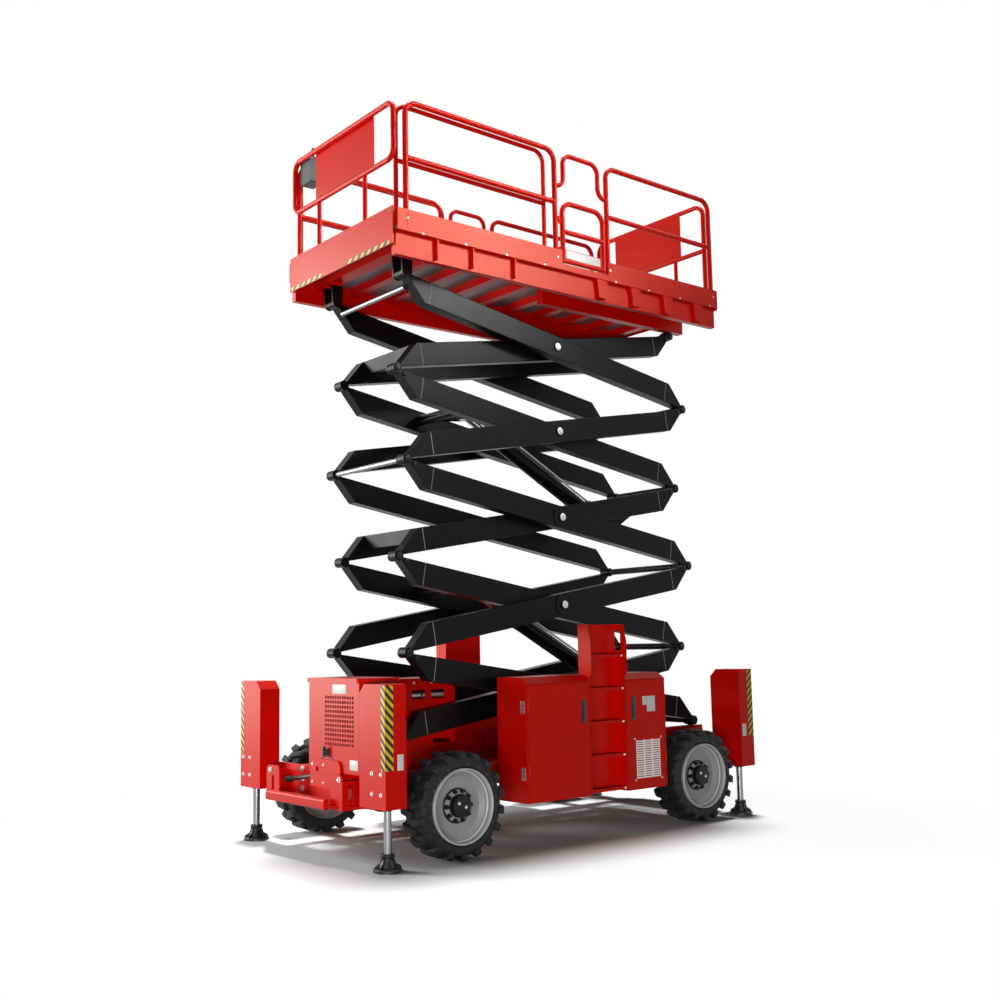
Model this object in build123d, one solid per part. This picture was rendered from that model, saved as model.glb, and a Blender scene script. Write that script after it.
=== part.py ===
from build123d import *
import os
from math import asin, cos, hypot, sin

# Rough-terrain scissor lift, partly raised, standing on its wheels and jack feet.
# Millimetres. +X is the front, +Y the machine's left, +Z up, origin on the floor
# under the middle of the wheelbase.

# Wheels and axles
WHEELBASE = 2800.0
TYRE_R = 420.0
LUG_TOP_R = 419.0
CARCASS_R = 388.0
CARCASS_SIDES = 36
LUG_COUNT = 18
LUG_W = 62.0
LUG_SIDE_R = 352.0
TYRE_W = 300.0
WIDTH_OVER_TYRES = 2320.0
RIM_R = 292.0
RIM_WALL = 14.0
DISC_DEPTH = 105.0
DISC_T = 16.0
HUB_R = 88.0
HUB_REACH = 70.0
SPINDLE_R = 45.0
KINGPIN_Y = 860.0
KINGPIN_R = 30.0
AXLE_H = 130.0

# Scissor stack
STAGES = 5
PIVOT_FRONT_X = 1530.0
PIVOT_Z = 880.0
LEVEL_ONE_Z = 1609.6
ARM_PIN_LENGTH = 3516.6
ARM_DEPTH = 200.0
ARM_PITCH = 210.0
ARM_W = 111.0
ARM_CHAMFER = 235.0
INNER_ARM_Y = 370.0
OUTER_ARM_Y = 506.0
STAGE_RISE = 801.6
EAR_R = 45.0
EAR_RELIEF = 6.0
EAR_T = 29.0
EAR_SIDE_GAP = 5.0
PIN_R = 22.0
PIN_FIT = 0.05
LOOSE_FIT = 0.5
CENTRE_PIN_R = 30.0
DOUBLER_R = 100.0
DOUBLER_T = 8.0
DOUBLED_STAGES = (1, 2)
PIN_HEAD_R = 40.0
PIN_HEAD_T = 12.0
ROLLER_R = 50.0
CROSS_TUBE_R = 32.0
TIE_BAR_R = 22.0
BOX_BEAM_W = 120.0
BOX_BEAM_ALONG = 300.0

# Lift cylinders, placed from the rear pin that their two arms share
CYL_FOOT_X = 544.0
CYL_FOOT_Z = -389.0
CYL_HEAD_X = 2344.0
CYL_HEAD_Z = 587.0
CYL_BARREL_R = 75.0
CYL_ROD_R = 45.0
CYL_EYE_R = 62.0
CYL_EYE_W = 80.0
CYL_EYE_PIN_R = 28.0
CYL_BARREL_LENGTH = 1660.0
CYL_ROD_LENGTH = 1520.0
CYL_EAR_T = 20.0
CYL_EAR_GAP = 10.0
CYL_LUG_LENGTH = 220.0
CYL_LUG_R = 40.0

# Chassis
RAIL_OUT_Y = 622.0
RAIL_IN_Y = 520.0
TRACK_OUT_Y = 600.0
RAIL_BOTTOM_Z = 490.0
CHASSIS_HALF_X = 1935.0
END_WALL_T = 20.0
CROSS_BEAM_TOP_Z = 600.0
CROSS_BEAM_H = 60.0
RAIL_TOP_Z = 660.0
BRACKET_T = 15.0
BRACKET_GAP = 5.0

# Jacks
JACK_X = 2035.0
JACK_Y = 1036.0
JACK_HOUSING_L = 190.0
JACK_HOUSING_IN_Y = 800.0
JACK_HOUSING_OUT_Y = 1155.0
JACK_HOUSING_BOTTOM_Z = 460.0
JACK_HOUSING_TOP_Z = 1380.0
JACK_WALL = 8.0
JACK_CHAMFER = 70.0
JACK_ROD_R = 30.0
JACK_FOOT_R = 110.0
JACK_FOOT_H = 125.0
JACK_STROKE = 300.0

# Side cabinets
CAB_IN_Y = 648.0
CAB_OUT_Y = 1100.0
CAB_REAR_X = -955.0
CAB_FRONT_X = 710.0
CAB_END_Y = 730.0
CAB_END_X = 630.0
CAB_BOTTOM_Z = 365.0
CAB_SHOULDER_Z = 1325.0
CAB_TOP_Z = 1385.0
CAB_WALL = 6.0
CAB_HOOD_INSET = 55.0
CAB_HOOD_END = 28.0
CAB_HOOD_LIP = 8.0
DOOR_T = 24.0
DOOR_GAP = 5.0
DOOR_HINGE_Z = (600.0, 1140.0)
DOOR_POST = 20.0
DOOR_ROOM = 4.0
STRAP_T = 5.0
VENT_X = (-868.0, -565.0)
VENT_Z = (461.0, 796.0)
VENT_COLUMNS = 3
VENT_ROWS = 10
LADDER_FRONT_X = -12.0
LADDER_REAR_X = -455.0
LADDER_DEPTH = 130.0
LADDER_TOP_Z = 1820.0
LADDER_OUT_Y = 1130.0
LADDER_SLANT_Z = 1670.0
LADDER_TOP_Y = 1095.0
GRAB_Y = (985.0, 1060.0)
GRAB_Z = (1585.0, 1770.0)
LADDER_PLATE = 8.0
RUNG_FIRST_Z = 382.0
RUNG_PITCH = 287.0
RUNG_H = 25.0
RUNGS = 5
RUNG_D = 70.0

# Front cabinet
NOSE_IN_Y = 40.0
NOSE_OUT_Y = 795.0
NOSE_BACK_X = 1760.0
NOSE_FRONT_X = 2128.0
NOSE_BOTTOM_Z = 690.0
NOSE_TOP_Z = 1385.0
NOSE_LID_T = 36.0
NOSE_LID_LIP = 14.0
GRILLE_Y = (284.0, 723.0)
GRILLE_Z = (888.0, 1289.0)
GRILLE_COLUMNS = 12
GRILLE_ROWS = 11
GRILLE_OPEN = 0.64

# Hydraulic tank between the lowest arms
TANK_X = (850.0, 1715.0)
TANK_Y = (-50.0, 320.0)
TANK_TOP_Z = 1390.0
TANK_WINDOWS = (((967.0, 1103.0), (1214.0, 1292.0)), ((1167.0, 1299.0), (1214.0, 1292.0)),
                ((909.0, 1091.0), (842.0, 880.0)))

# Tow and tie-down trays
TRAY_LENGTH = 295.0
TRAY_TAPER = 195.0
TRAY_HALF_Y = 470.0
TRAY_ROOT_Y = 790.0
TRAY_BOTTOM_Z = 412.0
TRAY_T = 16.0
TRAY_LIP_H = 85.0
TRAY_LIP_T = 45.0
TRAY_LIP_R = 20.0
EAR_PLATE_T = 18.0
EAR_PLATE_TOP_Z = 685.0
EAR_SLOT_R = 22.0
EAR_SLOT_Z = (505.0, 585.0)
BACK_PLATE_TOP_Z = 685.0
REAR_PLATE_TOP_Z = 625.0
NEAR_EAR_SETBACK = 70.0
NEAR_EAR_Y = (455.0, 630.0)
FAR_EAR_SETBACK = 90.0
FAR_EAR_Y = (-620.0, -400.0)
CENTRE_PLATE_GAP = 4.0
CENTRE_PLATE_T = 15.0
CENTRE_PLATE_Y = (90.0, 545.0)
CENTRE_PLATE_Z = (566.0, 782.0)
CENTRE_PLATE_HOLE = (200.0, 704.0)

# Platform, measured up from its lowest pivot
DECK_BEAM_BOTTOM = 40.0
DECK_BEAM_H = 214.0
DECK_FLOOR_TOP = 274.0
TOE_TOP = 424.0
RAIL_MID = 884.0
RAIL_TOP = 1376.0
DECK_FRONT_X = 1795.0
TOE_FRONT_X = 1800.0
RAIL_FRONT_X = 1700.0
DECK_REAR_X = -2170.0
DECK_SIDE_Y = 900.0
DECK_BEAM_Y = 855.0
DECK_BEAM_T = 60.0
TOE_T = 8.0
TUBE_R = 24.0
TUBE_BEND = 110.0
HEADER_BEND = 95.0
HEADER_LEG = 330.0
HEADER_STUB = 110.0
DECK_CROSS_W = 80.0
DECK_CROSS_H = 70.0
DECK_CROSS_PITCH = 390.0
RIB_X = (-530.0, -980.0, -1430.0, -1880.0)
RIB_TOP = 70.0
RIB_LOW = 45.0
GUSSET_T = 12.0
GUSSET_X = (1390.0, 1010.0, 540.0)
GATE_POST_X = 35.0
GATE_FRONT_X = -40.0
GATE_REAR_X = -600.0
GATE_TOP = 900.0
GATE_BAR = 620.0
GATE_CLEAR = 13.0
GATE_HINGE_R = 10.0
DOOR_HINGE_R = 9.0
HINGE_PIN_R = 5.0
HINGE_H = 44.0
HINGE_LUG_H = 14.0
RUN_GAP = 0.5
SEAT_GAP = 0.3
WELD = 2.0

# Roll-out deck
EXT_REAR_X = 40.0
EXT_FRONT_X = 1820.0
EXT_RAIL_Y = 800.0
EXT_POSTS_X = (1750.0, 110.0)
EXT_RAIL_DROP = 15.0
EXT_LOOP_Y = 820.0
EXT_LOOP_BEND = 90.0
EXT_LOOP_LAP = 15.0
EXT_TUBE_R = 20.0
END_POSTS_Y = (-380.0, 380.0)
EXT_FLOOR_T = 18.0
EXT_FLOOR_LIFT = 5.0
EXT_FRONT_Y = 850.0
EXT_PAD_L = 80.0
EXT_PAD_W = 40.0
EXT_PAD_PITCH = 1200.0
EXT_PLATE_BOTTOM = 129.0
EXT_PLATE_TOP = 449.0
EXT_PLATE_T = 12.0
PANEL_HALF_Y = 485.0
PANEL_T = 6.0
ENGINE_X = (-900.0, -250.0)
ENGINE_Y = (-933.0, -668.0)
ENGINE_TOP_Z = 1000.0
CONTROL_DEPTH = 130.0
CONTROL_Y = (-770.0, -590.0)

# Sizes that follow from the ones above
TYRE_Y = (WIDTH_OVER_TYRES - TYRE_W) / 2
AXLE_X = WHEELBASE / 2
PHI_REST = asin(STAGE_RISE / ARM_PIN_LENGTH)
SPAN = ARM_PIN_LENGTH * cos(PHI_REST)
PIVOT_REAR_X = PIVOT_FRONT_X - SPAN
FRAME_END_X = CHASSIS_HALF_X + END_WALL_T
TRAY_REACH_X = FRAME_END_X + TRAY_LENGTH
TRAY_BEND_X = TRAY_REACH_X - TRAY_TAPER
NEAR_EAR_X = TRAY_REACH_X - NEAR_EAR_SETBACK
FAR_EAR_X = TRAY_REACH_X - FAR_EAR_SETBACK
CENTRE_PLATE_X = (NOSE_FRONT_X + CENTRE_PLATE_GAP, NOSE_FRONT_X + CENTRE_PLATE_GAP + CENTRE_PLATE_T)
ARM_EDGE = ARM_DEPTH / 2
PIN_EDGE = ARM_PITCH / 2
LEVEL = [PIVOT_Z] + [LEVEL_ONE_Z + STAGE_RISE * k for k in range(STAGES)]
TRACK_TOP_Z = PIVOT_Z - ROLLER_R - 0.3
DECK_Z = LEVEL[STAGES]
FLOOR_Z = DECK_Z + DECK_FLOOR_TOP
DOOR_HINGE_Y = CAB_OUT_Y + DOOR_HINGE_R + 1.5
FRONT_DOOR_X = (LADDER_FRONT_X + DOOR_GAP, CAB_FRONT_X - DOOR_POST)
REAR_DOOR_X = (CAB_REAR_X + DOOR_POST + DOOR_GAP, LADDER_REAR_X - DOOR_GAP)
GATE_HINGE_Z = (FLOOR_Z + 130, DECK_Z + GATE_BAR + 80)
SIDES = (1, -1)


# Basic shapes
def block(x, y, z):
    """A box from its low and high coordinates on each axis."""
    size = [abs(high - low) for low, high in (x, y, z)]
    middle = [(low + high) / 2 for low, high in (x, y, z)]
    return Pos(*middle) * Box(*size)


def cyl_x(radius, x, y, z):
    return Pos((x[0] + x[1]) / 2, y, z) * Rot(0, 90, 0) * Cylinder(radius, abs(x[1] - x[0]))


def cyl_y(radius, x, y, z):
    return Pos(x, (y[0] + y[1]) / 2, z) * Rot(90, 0, 0) * Cylinder(radius, abs(y[1] - y[0]))


def cyl_z(radius, x, y, z):
    return Pos(x, y, (z[0] + z[1]) / 2) * Cylinder(radius, abs(z[1] - z[0]))


def prism_xz(points, y):
    """A side outline pushed through from one y to the other."""
    outline = make_face(Polyline(*[(px, y[0], pz) for px, pz in points], close=True))
    return extrude(outline, amount=y[1] - y[0], dir=(0, 1, 0))


def prism_xy(points, z):
    """A plan outline raised from one z to the other."""
    outline = make_face(Polyline(*[(px, py, z[0]) for px, py in points], close=True))
    return extrude(outline, amount=z[1] - z[0], dir=(0, 0, 1))


def prism_yz(points, x):
    """A front outline pushed through from one x to the other."""
    outline = make_face(Polyline(*[(x[0], py, pz) for py, pz in points], close=True))
    return extrude(outline, amount=x[1] - x[0], dir=(1, 0, 0))


def link_xz(start, end, r_start, r_end, y):
    """A flat link with round ends between two points of the side view."""
    run = hypot(end[0] - start[0], end[1] - start[1])
    nx = -(end[1] - start[1]) / run
    nz = (end[0] - start[0]) / run
    web = [(start[0] + nx * r_start, start[1] + nz * r_start),
           (end[0] + nx * r_end, end[1] + nz * r_end),
           (end[0] - nx * r_end, end[1] - nz * r_end),
           (start[0] - nx * r_start, start[1] - nz * r_start)]
    ends = cyl_y(r_start, start[0], y, start[1]) + cyl_y(r_end, end[0], y, end[1])
    return prism_xz(web, y) + ends


def tube(points, radius, bend):
    """A round tube along straight runs joined by bends of one radius."""
    if len(points) == 2:
        path = Line(*points)
    else:
        path = FilletPolyline(*points, radius=bend)
    start = Plane(origin=path @ 0, z_dir=path % 0)
    return sweep(start * Circle(radius), path=path)


def span(side, low, high):
    """A stretch of y on one side of the machine, low to high."""
    return (low, high) if side > 0 else (-high, -low)


def mirrored(part):
    return mirror(part, about=Plane.XZ)


def both_sides(part):
    return [part, mirrored(part)]


def node(name, parts):
    """Write one node: a single solid, or several that don't touch."""
    solids = []
    for part in parts if isinstance(parts, (list, tuple)) else [parts]:
        solids.extend(part.solids())
    shape = solids[0] if len(solids) == 1 else Compound(children=solids)
    export_step(shape, os.path.join("parts", name + ".step"))


def hinge_barrel(x, y, z, radius, strap):
    """Barrel on the moving side of an upright hinge, with the strap that carries it."""
    barrel = cyl_z(radius, x, y, (z, z + HINGE_H)) + strap
    return barrel - cyl_z(HINGE_PIN_R + PIN_FIT, x, y, (z - 1, z + HINGE_H + 1))


def hinge_pin(x, y, z, radius, straps):
    """Pin and its two lugs on the fixed side of an upright hinge."""
    low = z - RUN_GAP - HINGE_LUG_H
    high = z + HINGE_H + RUN_GAP + HINGE_LUG_H
    pin = cyl_z(HINGE_PIN_R, x, y, (low, high))
    for lug_low, strap in zip((low, high - HINGE_LUG_H), straps):
        pin = pin + cyl_z(radius, x, y, (lug_low, lug_low + HINGE_LUG_H)) + strap
    return pin


def lug_levels(z):
    low = z - RUN_GAP - HINGE_LUG_H
    high = z + HINGE_H + RUN_GAP
    return [(low, low + HINGE_LUG_H), (high, high + HINGE_LUG_H)]


# Wheels
def tyre(x, side):
    """Solid tyre: a many-sided carcass with blocks across each shoulder, set half a step apart."""
    half = TYRE_W / 2
    ring = extrude(RegularPolygon(CARCASS_R, CARCASS_SIDES), amount=half, both=True)
    ring = chamfer(ring.edges().filter_by(GeomType.LINE).group_by(Axis.Z)[0], 26)
    ring = chamfer(ring.edges().filter_by(GeomType.LINE).group_by(Axis.Z)[-1], 26)
    ring = ring - Cylinder(RIM_R + 0.2, TYRE_W + 20)
    profile = [(CARCASS_R - 25, -12), (LUG_TOP_R, -12), (LUG_TOP_R, half - 28), (LUG_TOP_R - 22, half),
               (LUG_SIDE_R, half), (LUG_SIDE_R, half - 12), (CARCASS_R - 40, half - 20)]
    face = make_face(Polyline(*[(r, -LUG_W / 2, h) for r, h in profile], close=True))
    lug = extrude(face, amount=LUG_W, dir=(0, 1, 0))
    step = 360.0 / LUG_COUNT
    for number in range(LUG_COUNT):
        ring = ring + Rot(0, 0, step * number) * lug
        ring = ring + Rot(0, 0, step * (number + 0.5)) * mirror(lug, about=Plane.XY)
    return Pos(x, side * TYRE_Y, TYRE_R) * Rot(-90 * side, 0, 0) * ring


def rim(x, side):
    """Deep-dished rim and hub turned about the spindle; the height runs outwards."""
    half = TYRE_W / 2
    disc = half - DISC_DEPTH
    bore = SPINDLE_R + PIN_FIT
    outline = [(bore, disc - DISC_T - 30), (HUB_R + 40, disc - DISC_T - 30), (HUB_R + 60, disc - DISC_T),
               (RIM_R - 60, disc - DISC_T), (RIM_R - RIM_WALL - 20, disc - 60),
               (RIM_R - RIM_WALL, -half + 30), (RIM_R - 2, -half + 4), (RIM_R, -half + 22),
               (RIM_R, half - 22), (RIM_R - 2, half - 4), (RIM_R - RIM_WALL, half - 30),
               (RIM_R - RIM_WALL - 12, disc + 25), (RIM_R - 70, disc), (HUB_R + 45, disc),
               (HUB_R + 30, disc + 20), (HUB_R, disc + 24), (HUB_R - 6, disc + HUB_REACH - 12),
               (HUB_R - 22, disc + HUB_REACH), (0, disc + HUB_REACH), (0, disc + HUB_REACH - 20),
               (bore, disc + HUB_REACH - 20)]
    face = make_face(Polyline(*[(r, 0, h) for r, h in outline], close=True))
    return Pos(x, side * TYRE_Y, TYRE_R) * Rot(-90 * side, 0, 0) * revolve(face, Axis.Z)


def spindle_end_y():
    return TYRE_Y + TYRE_W / 2 - DISC_DEPTH + HUB_REACH - 25


def axle_beam(x, reach):
    """Axle tube with a cast differential bulge in the middle."""
    beam = block((x - AXLE_H / 2, x + AXLE_H / 2), (-reach, reach),
                 (TYRE_R - AXLE_H / 2, TYRE_R + AXLE_H / 2))
    beam = fillet(beam.edges().filter_by(Axis.Y), 20)
    bulge = Pos(x, 0, TYRE_R) * Sphere(150)
    over = (CROSS_BEAM_TOP_Z - CROSS_BEAM_H - 10, TYRE_R + 200)
    bulge = bulge - block((x - 200, x + 200), (-200, 200), over)
    cover = cyl_x(110, (x - 180, x + 180), 0, TYRE_R)
    return beam + bulge + cover


def front_axle():
    """Beam, forked ends and kingpins; hung from the chassis by two brackets."""
    fork_z = 105.0
    fork_t = 32.0
    knuckle_gap = 1.0
    reach = KINGPIN_Y - 110.0
    part = axle_beam(AXLE_X, reach)
    for side in SIDES:
        for up in SIDES:
            low = TYRE_R + up * (fork_z - fork_t) if up > 0 else TYRE_R - fork_z
            arm = block((AXLE_X - 60, AXLE_X + 60), span(side, reach - 40, KINGPIN_Y), (low, low + fork_t))
            part = part + arm + cyl_z(60, AXLE_X, side * KINGPIN_Y, (low, low + fork_t))
        web = block((AXLE_X - 60, AXLE_X + 60), span(side, reach - 60, reach - 10),
                    (TYRE_R - fork_z, TYRE_R + fork_z))
        pin = cyl_z(KINGPIN_R, AXLE_X, side * KINGPIN_Y, (TYRE_R - fork_z, TYRE_R + fork_z))
        part = part + web + pin
    return part + axle_hangers(AXLE_X)


def axle_hangers(x):
    """Brackets from the axle up to the underside of the two chassis rails."""
    parts = None
    for side in SIDES:
        hanger = block((x - 90, x + 90), span(side, RAIL_IN_Y + 10, RAIL_OUT_Y - 10),
                       (TYRE_R - AXLE_H / 2 - 15, RAIL_BOTTOM_Z))
        parts = hanger if parts is None else parts + hanger
    return parts


def rear_axle():
    part = axle_beam(-AXLE_X, KINGPIN_Y + 40)
    for side in SIDES:
        flange = cyl_y(120, -AXLE_X, span(side, KINGPIN_Y + 20, KINGPIN_Y + 50), TYRE_R)
        stub = cyl_y(SPINDLE_R, -AXLE_X, span(side, KINGPIN_Y, spindle_end_y()), TYRE_R)
        part = part + flange + stub
    return part + axle_hangers(-AXLE_X)


def knuckle(side):
    """Steering knuckle on its kingpin, with the spindle and steering lever."""
    half = 72.0
    body = block((AXLE_X - 55, AXLE_X + 55), span(side, KINGPIN_Y - 55, KINGPIN_Y + 75),
                 (TYRE_R - half, TYRE_R + half))
    body = body + cyl_z(60, AXLE_X, side * KINGPIN_Y, (TYRE_R - half, TYRE_R + half))
    stub = cyl_y(SPINDLE_R, AXLE_X, span(side, KINGPIN_Y + 60, spindle_end_y()), TYRE_R)
    lever = block((AXLE_X - 190, AXLE_X - 40), span(side, KINGPIN_Y - 50, KINGPIN_Y - 10),
                  (TYRE_R - 20, TYRE_R + 20))
    lever = lever + cyl_z(28, AXLE_X - 190, side * (KINGPIN_Y - 30), (TYRE_R - 20, TYRE_R + 20))
    return body + stub + lever - cyl_z(KINGPIN_R + PIN_FIT, AXLE_X, side * KINGPIN_Y, (0, 2 * TYRE_R))


# Scissor arms
class Arm:
    """One arm pair: where its pins are at rest and how its own axes lie in the side view."""

    def __init__(self, front_level, rear_level):
        self.rises = 1 if rear_level > front_level else -1
        self.front = (PIVOT_FRONT_X, LEVEL[front_level])
        self.rear = (PIVOT_REAR_X, LEVEL[rear_level])
        rise = abs(self.rear[1] - self.front[1])
        between_pins = hypot(SPAN, rise)
        skew = asin(ARM_PITCH / between_pins)
        self.length = between_pins * cos(skew)
        self.tilt = self.rises * (asin(rise / between_pins) - skew)
        top_level = max(front_level, rear_level)
        self.middle = ((self.front[0] + self.rear[0]) / 2, LEVEL[top_level] - STAGE_RISE / 2)

    def at(self, along, up):
        """A point so far back from the front pin and so far above the arm's centre line."""
        lift = up + self.rises * PIN_EDGE
        return (self.front[0] - along * cos(self.tilt) + lift * sin(self.tilt),
                self.front[1] + along * sin(self.tilt) + lift * cos(self.tilt))

    def local(self, point):
        """How far back and how far up a point of the side view lies on the arm."""
        dx = point[0] - self.front[0]
        dz = point[1] - self.front[1]
        return (-dx * cos(self.tilt) + dz * sin(self.tilt),
                dx * sin(self.tilt) + dz * cos(self.tilt) - self.rises * PIN_EDGE)

    def outline(self):
        """Slant-ended beam whose two sharp tips carry the pins."""
        edge = self.rises * ARM_EDGE
        return [self.at(0, -edge), self.at(self.length - ARM_CHAMFER, -edge),
                self.at(self.length, edge), self.at(ARM_CHAMFER, edge)]


def arm_beams(arm, low_y):
    return [prism_xz(arm.outline(), span(side, low_y, low_y + ARM_W)) for side in SIDES]


def ear_zones(side, low_y):
    """The two outer ears and the tongue between them, across one arm."""
    high_y = low_y + ARM_W
    ears = [span(side, low_y, low_y + EAR_T), span(side, high_y - EAR_T, high_y)]
    slot = span(side, low_y + EAR_T, high_y - EAR_T)
    tongue = span(side, low_y + EAR_T + EAR_SIDE_GAP, high_y - EAR_T - EAR_SIDE_GAP)
    return ears, slot, tongue


def forked(beams, pin, low_y, roller=False):
    """Fork at one end of each beam: two ears, the pin fixed in them, and a roller where it slides."""
    done = []
    for side, beam in zip(SIDES, beams):
        ears, slot, tongue = ear_zones(side, low_y)
        relief = (ROLLER_R if roller else EAR_R) + EAR_RELIEF
        beam = beam - cyl_y(relief, pin[0], slot, pin[1])
        for ear in ears:
            beam = beam + cyl_y(EAR_R, pin[0], ear, pin[1])
        beam = beam + cyl_y(PIN_R, pin[0], span(side, low_y, low_y + ARM_W), pin[1])
        if roller:
            beam = beam + cyl_y(ROLLER_R, pin[0], tongue, pin[1])
        done.append(beam)
    return done


def tongued(beams, pin, low_y, fit):
    """Tongue at one end of each beam, bored for the pin of the arm below."""
    done = []
    for side, beam in zip(SIDES, beams):
        ears, slot, tongue = ear_zones(side, low_y)
        low = (tongue[0], ears[0][0] if side > 0 else ears[1][0])
        high = (tongue[1], ears[1][1] if side > 0 else ears[0][1])
        for y in (low, high):
            beam = beam - cyl_y(EAR_R + EAR_RELIEF, pin[0], y, pin[1])
        beam = beam + cyl_y(EAR_R, pin[0], tongue, pin[1])
        done.append(beam - cyl_y(PIN_R + fit, pin[0], span(side, low_y, low_y + ARM_W), pin[1]))
    return done


def eyed(beams, pin, low_y):
    """Full-width bored eye at one end of each beam, for a bracket's pin."""
    done = []
    for side, beam in zip(SIDES, beams):
        width = span(side, low_y, low_y + ARM_W)
        beam = beam + cyl_y(EAR_R, pin[0], width, pin[1])
        done.append(beam - cyl_y(PIN_R + PIN_FIT, pin[0], width, pin[1]))
    return done


def with_centre_pin(beams, arm, doubler):
    """Inner arm: spacer boss and pin that reaches through the outer arm to its head."""
    inner_face = INNER_ARM_Y + ARM_W
    outer_face = OUTER_ARM_Y + ARM_W + (DOUBLER_T if doubler else 0)
    x, z = arm.middle
    done = []
    for side, beam in zip(SIDES, beams):
        boss = cyl_y(CENTRE_PIN_R + 25, x, span(side, inner_face, OUTER_ARM_Y - RUN_GAP), z)
        pin = cyl_y(CENTRE_PIN_R, x, span(side, inner_face - 20, outer_face + PIN_HEAD_T), z)
        head = cyl_y(PIN_HEAD_R, x, span(side, outer_face + RUN_GAP, outer_face + PIN_HEAD_T), z)
        done.append(beam + boss + pin + head)
    return done


def with_centre_bore(beams, arm, doubler):
    """Outer arm: bored for the inner arm's pin, with a round doubler plate where it has one."""
    outer_face = OUTER_ARM_Y + ARM_W
    x, z = arm.middle
    done = []
    for side, beam in zip(SIDES, beams):
        if doubler:
            beam = beam + cyl_y(DOUBLER_R, x, span(side, outer_face, outer_face + DOUBLER_T), z)
        bore = cyl_y(CENTRE_PIN_R + PIN_FIT, x, span(side, OUTER_ARM_Y, outer_face + DOUBLER_T), z)
        done.append(beam - bore)
    return done


def joined(beams, *members):
    part = beams[0] + beams[1]
    for member in members:
        part = part + member
    return part


def cross_tube(point, reach, radius=CROSS_TUBE_R):
    return cyl_y(radius, point[0], (-reach, reach), point[1])


def box_beam(arm, reach):
    """Box-section cross beam between the two inner arms, flush with their top edge at the front."""
    top = ARM_EDGE
    front = BOX_BEAM_ALONG - BOX_BEAM_W / 2
    corners = [arm.at(front, top - BOX_BEAM_W), arm.at(front + BOX_BEAM_W, top - BOX_BEAM_W),
               arm.at(front + BOX_BEAM_W, top), arm.at(front, top)]
    return prism_xz(corners, (-reach, reach))


def cylinder_points(vertex):
    """Foot and head of a lift cylinder, from the rear pin its two arms share."""
    foot = (vertex[0] + CYL_FOOT_X, vertex[1] + CYL_FOOT_Z)
    head = (vertex[0] + CYL_HEAD_X, vertex[1] + CYL_HEAD_Z)
    return foot, head


def cylinder_ears(arm, pivot, beam_along, beam_up, pinned):
    """Cross tube between the inner arms with two ears reaching to a cylinder pivot."""
    root = arm.at(beam_along, beam_up)
    low = CYL_EYE_W / 2 + CYL_EAR_GAP
    part = cross_tube(root, INNER_ARM_Y + 1, 48.0)
    for side in SIDES:
        part = part + link_xz(root, pivot, 48.0, 52.0, span(side, low, low + CYL_EAR_T))
    if pinned:
        reach = low + CYL_EAR_T + 8
        part = part + cyl_y(CYL_EYE_PIN_R, pivot[0], (-reach, reach), pivot[1])
    return part


def inner_arms():
    """The five inner arm pairs, lowest first."""
    levels = [(0, 1), (2, 1), (2, 3), (4, 3), (4, 5)]
    reach = INNER_ARM_Y + 1
    for index, (front, rear) in enumerate(levels):
        arm = Arm(front, rear)
        beams = with_centre_pin(arm_beams(arm, INNER_ARM_Y), arm, index in DOUBLED_STAGES)
        extras = []
        if index == 0:
            beams = eyed(beams, arm.front, INNER_ARM_Y)
            beams = forked(beams, arm.rear, INNER_ARM_Y)
        if index in (1, 3):
            beams = tongued(beams, arm.rear, INNER_ARM_Y, LOOSE_FIT)
            beams = forked(beams, arm.front, INNER_ARM_Y)
            head = cylinder_points(arm.rear)[1]
            along = arm.local(head)[0]
            extras += [cylinder_ears(arm, head, along - 260, 0, False)]
        if index in (2, 4):
            beams = tongued(beams, arm.front, INNER_ARM_Y, PIN_FIT)
            beams = forked(beams, arm.rear, INNER_ARM_Y, roller=index == STAGES - 1)
            extras += [box_beam(arm, reach)]
        if index in (0, 2):
            foot = cylinder_points(arm.rear)[0]
            along = arm.local(foot)[0]
            extras += [cylinder_ears(arm, foot, along + 330, -50, True)]
        if index != 1 and index != 3:
            extras += [cross_tube(arm.rear, reach)]
        node("inner_arms_%d" % (index + 1), joined(beams, *extras))


def outer_arms():
    """The five outer arm pairs, lowest first, and the bright tie bars at two front pins."""
    levels = [(1, 0), (1, 2), (3, 2), (3, 4), (5, 4)]
    reach = OUTER_ARM_Y + 1
    for index, (front, rear) in enumerate(levels):
        arm = Arm(front, rear)
        beams = with_centre_bore(arm_beams(arm, OUTER_ARM_Y), arm, index in DOUBLED_STAGES)
        extras = []
        if index == 0:
            beams = forked(beams, arm.rear, OUTER_ARM_Y, roller=True)
            beams = forked(beams, arm.front, OUTER_ARM_Y)
        if index in (1, 3):
            beams = tongued(beams, arm.front, OUTER_ARM_Y, PIN_FIT)
            beams = forked(beams, arm.rear, OUTER_ARM_Y)
        if index in (2, 4):
            beams = tongued(beams, arm.rear, OUTER_ARM_Y, LOOSE_FIT)
        if index == 2:
            beams = forked(beams, arm.front, OUTER_ARM_Y)
        if index == 4:
            beams = eyed(beams, arm.front, OUTER_ARM_Y)
        if index in (0, 1, 3):
            extras += [cross_tube(arm.rear, reach)]
        part = joined(beams, *extras)
        node("outer_arms_%d" % (index + 1), part)
        if index == 2:
            node("tie_bar_3", cross_tube(arm.front, OUTER_ARM_Y, TIE_BAR_R))
        if index == 4:
            node("tie_bar_5", tie_bar_between_eyes(arm))


def tie_bar_between_eyes(arm):
    """The top bar sits a little behind the eye, between the chamfered ends of the top arms."""
    point = arm.at(80, 20)
    return cross_tube(point, OUTER_ARM_Y, TIE_BAR_R)


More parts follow.
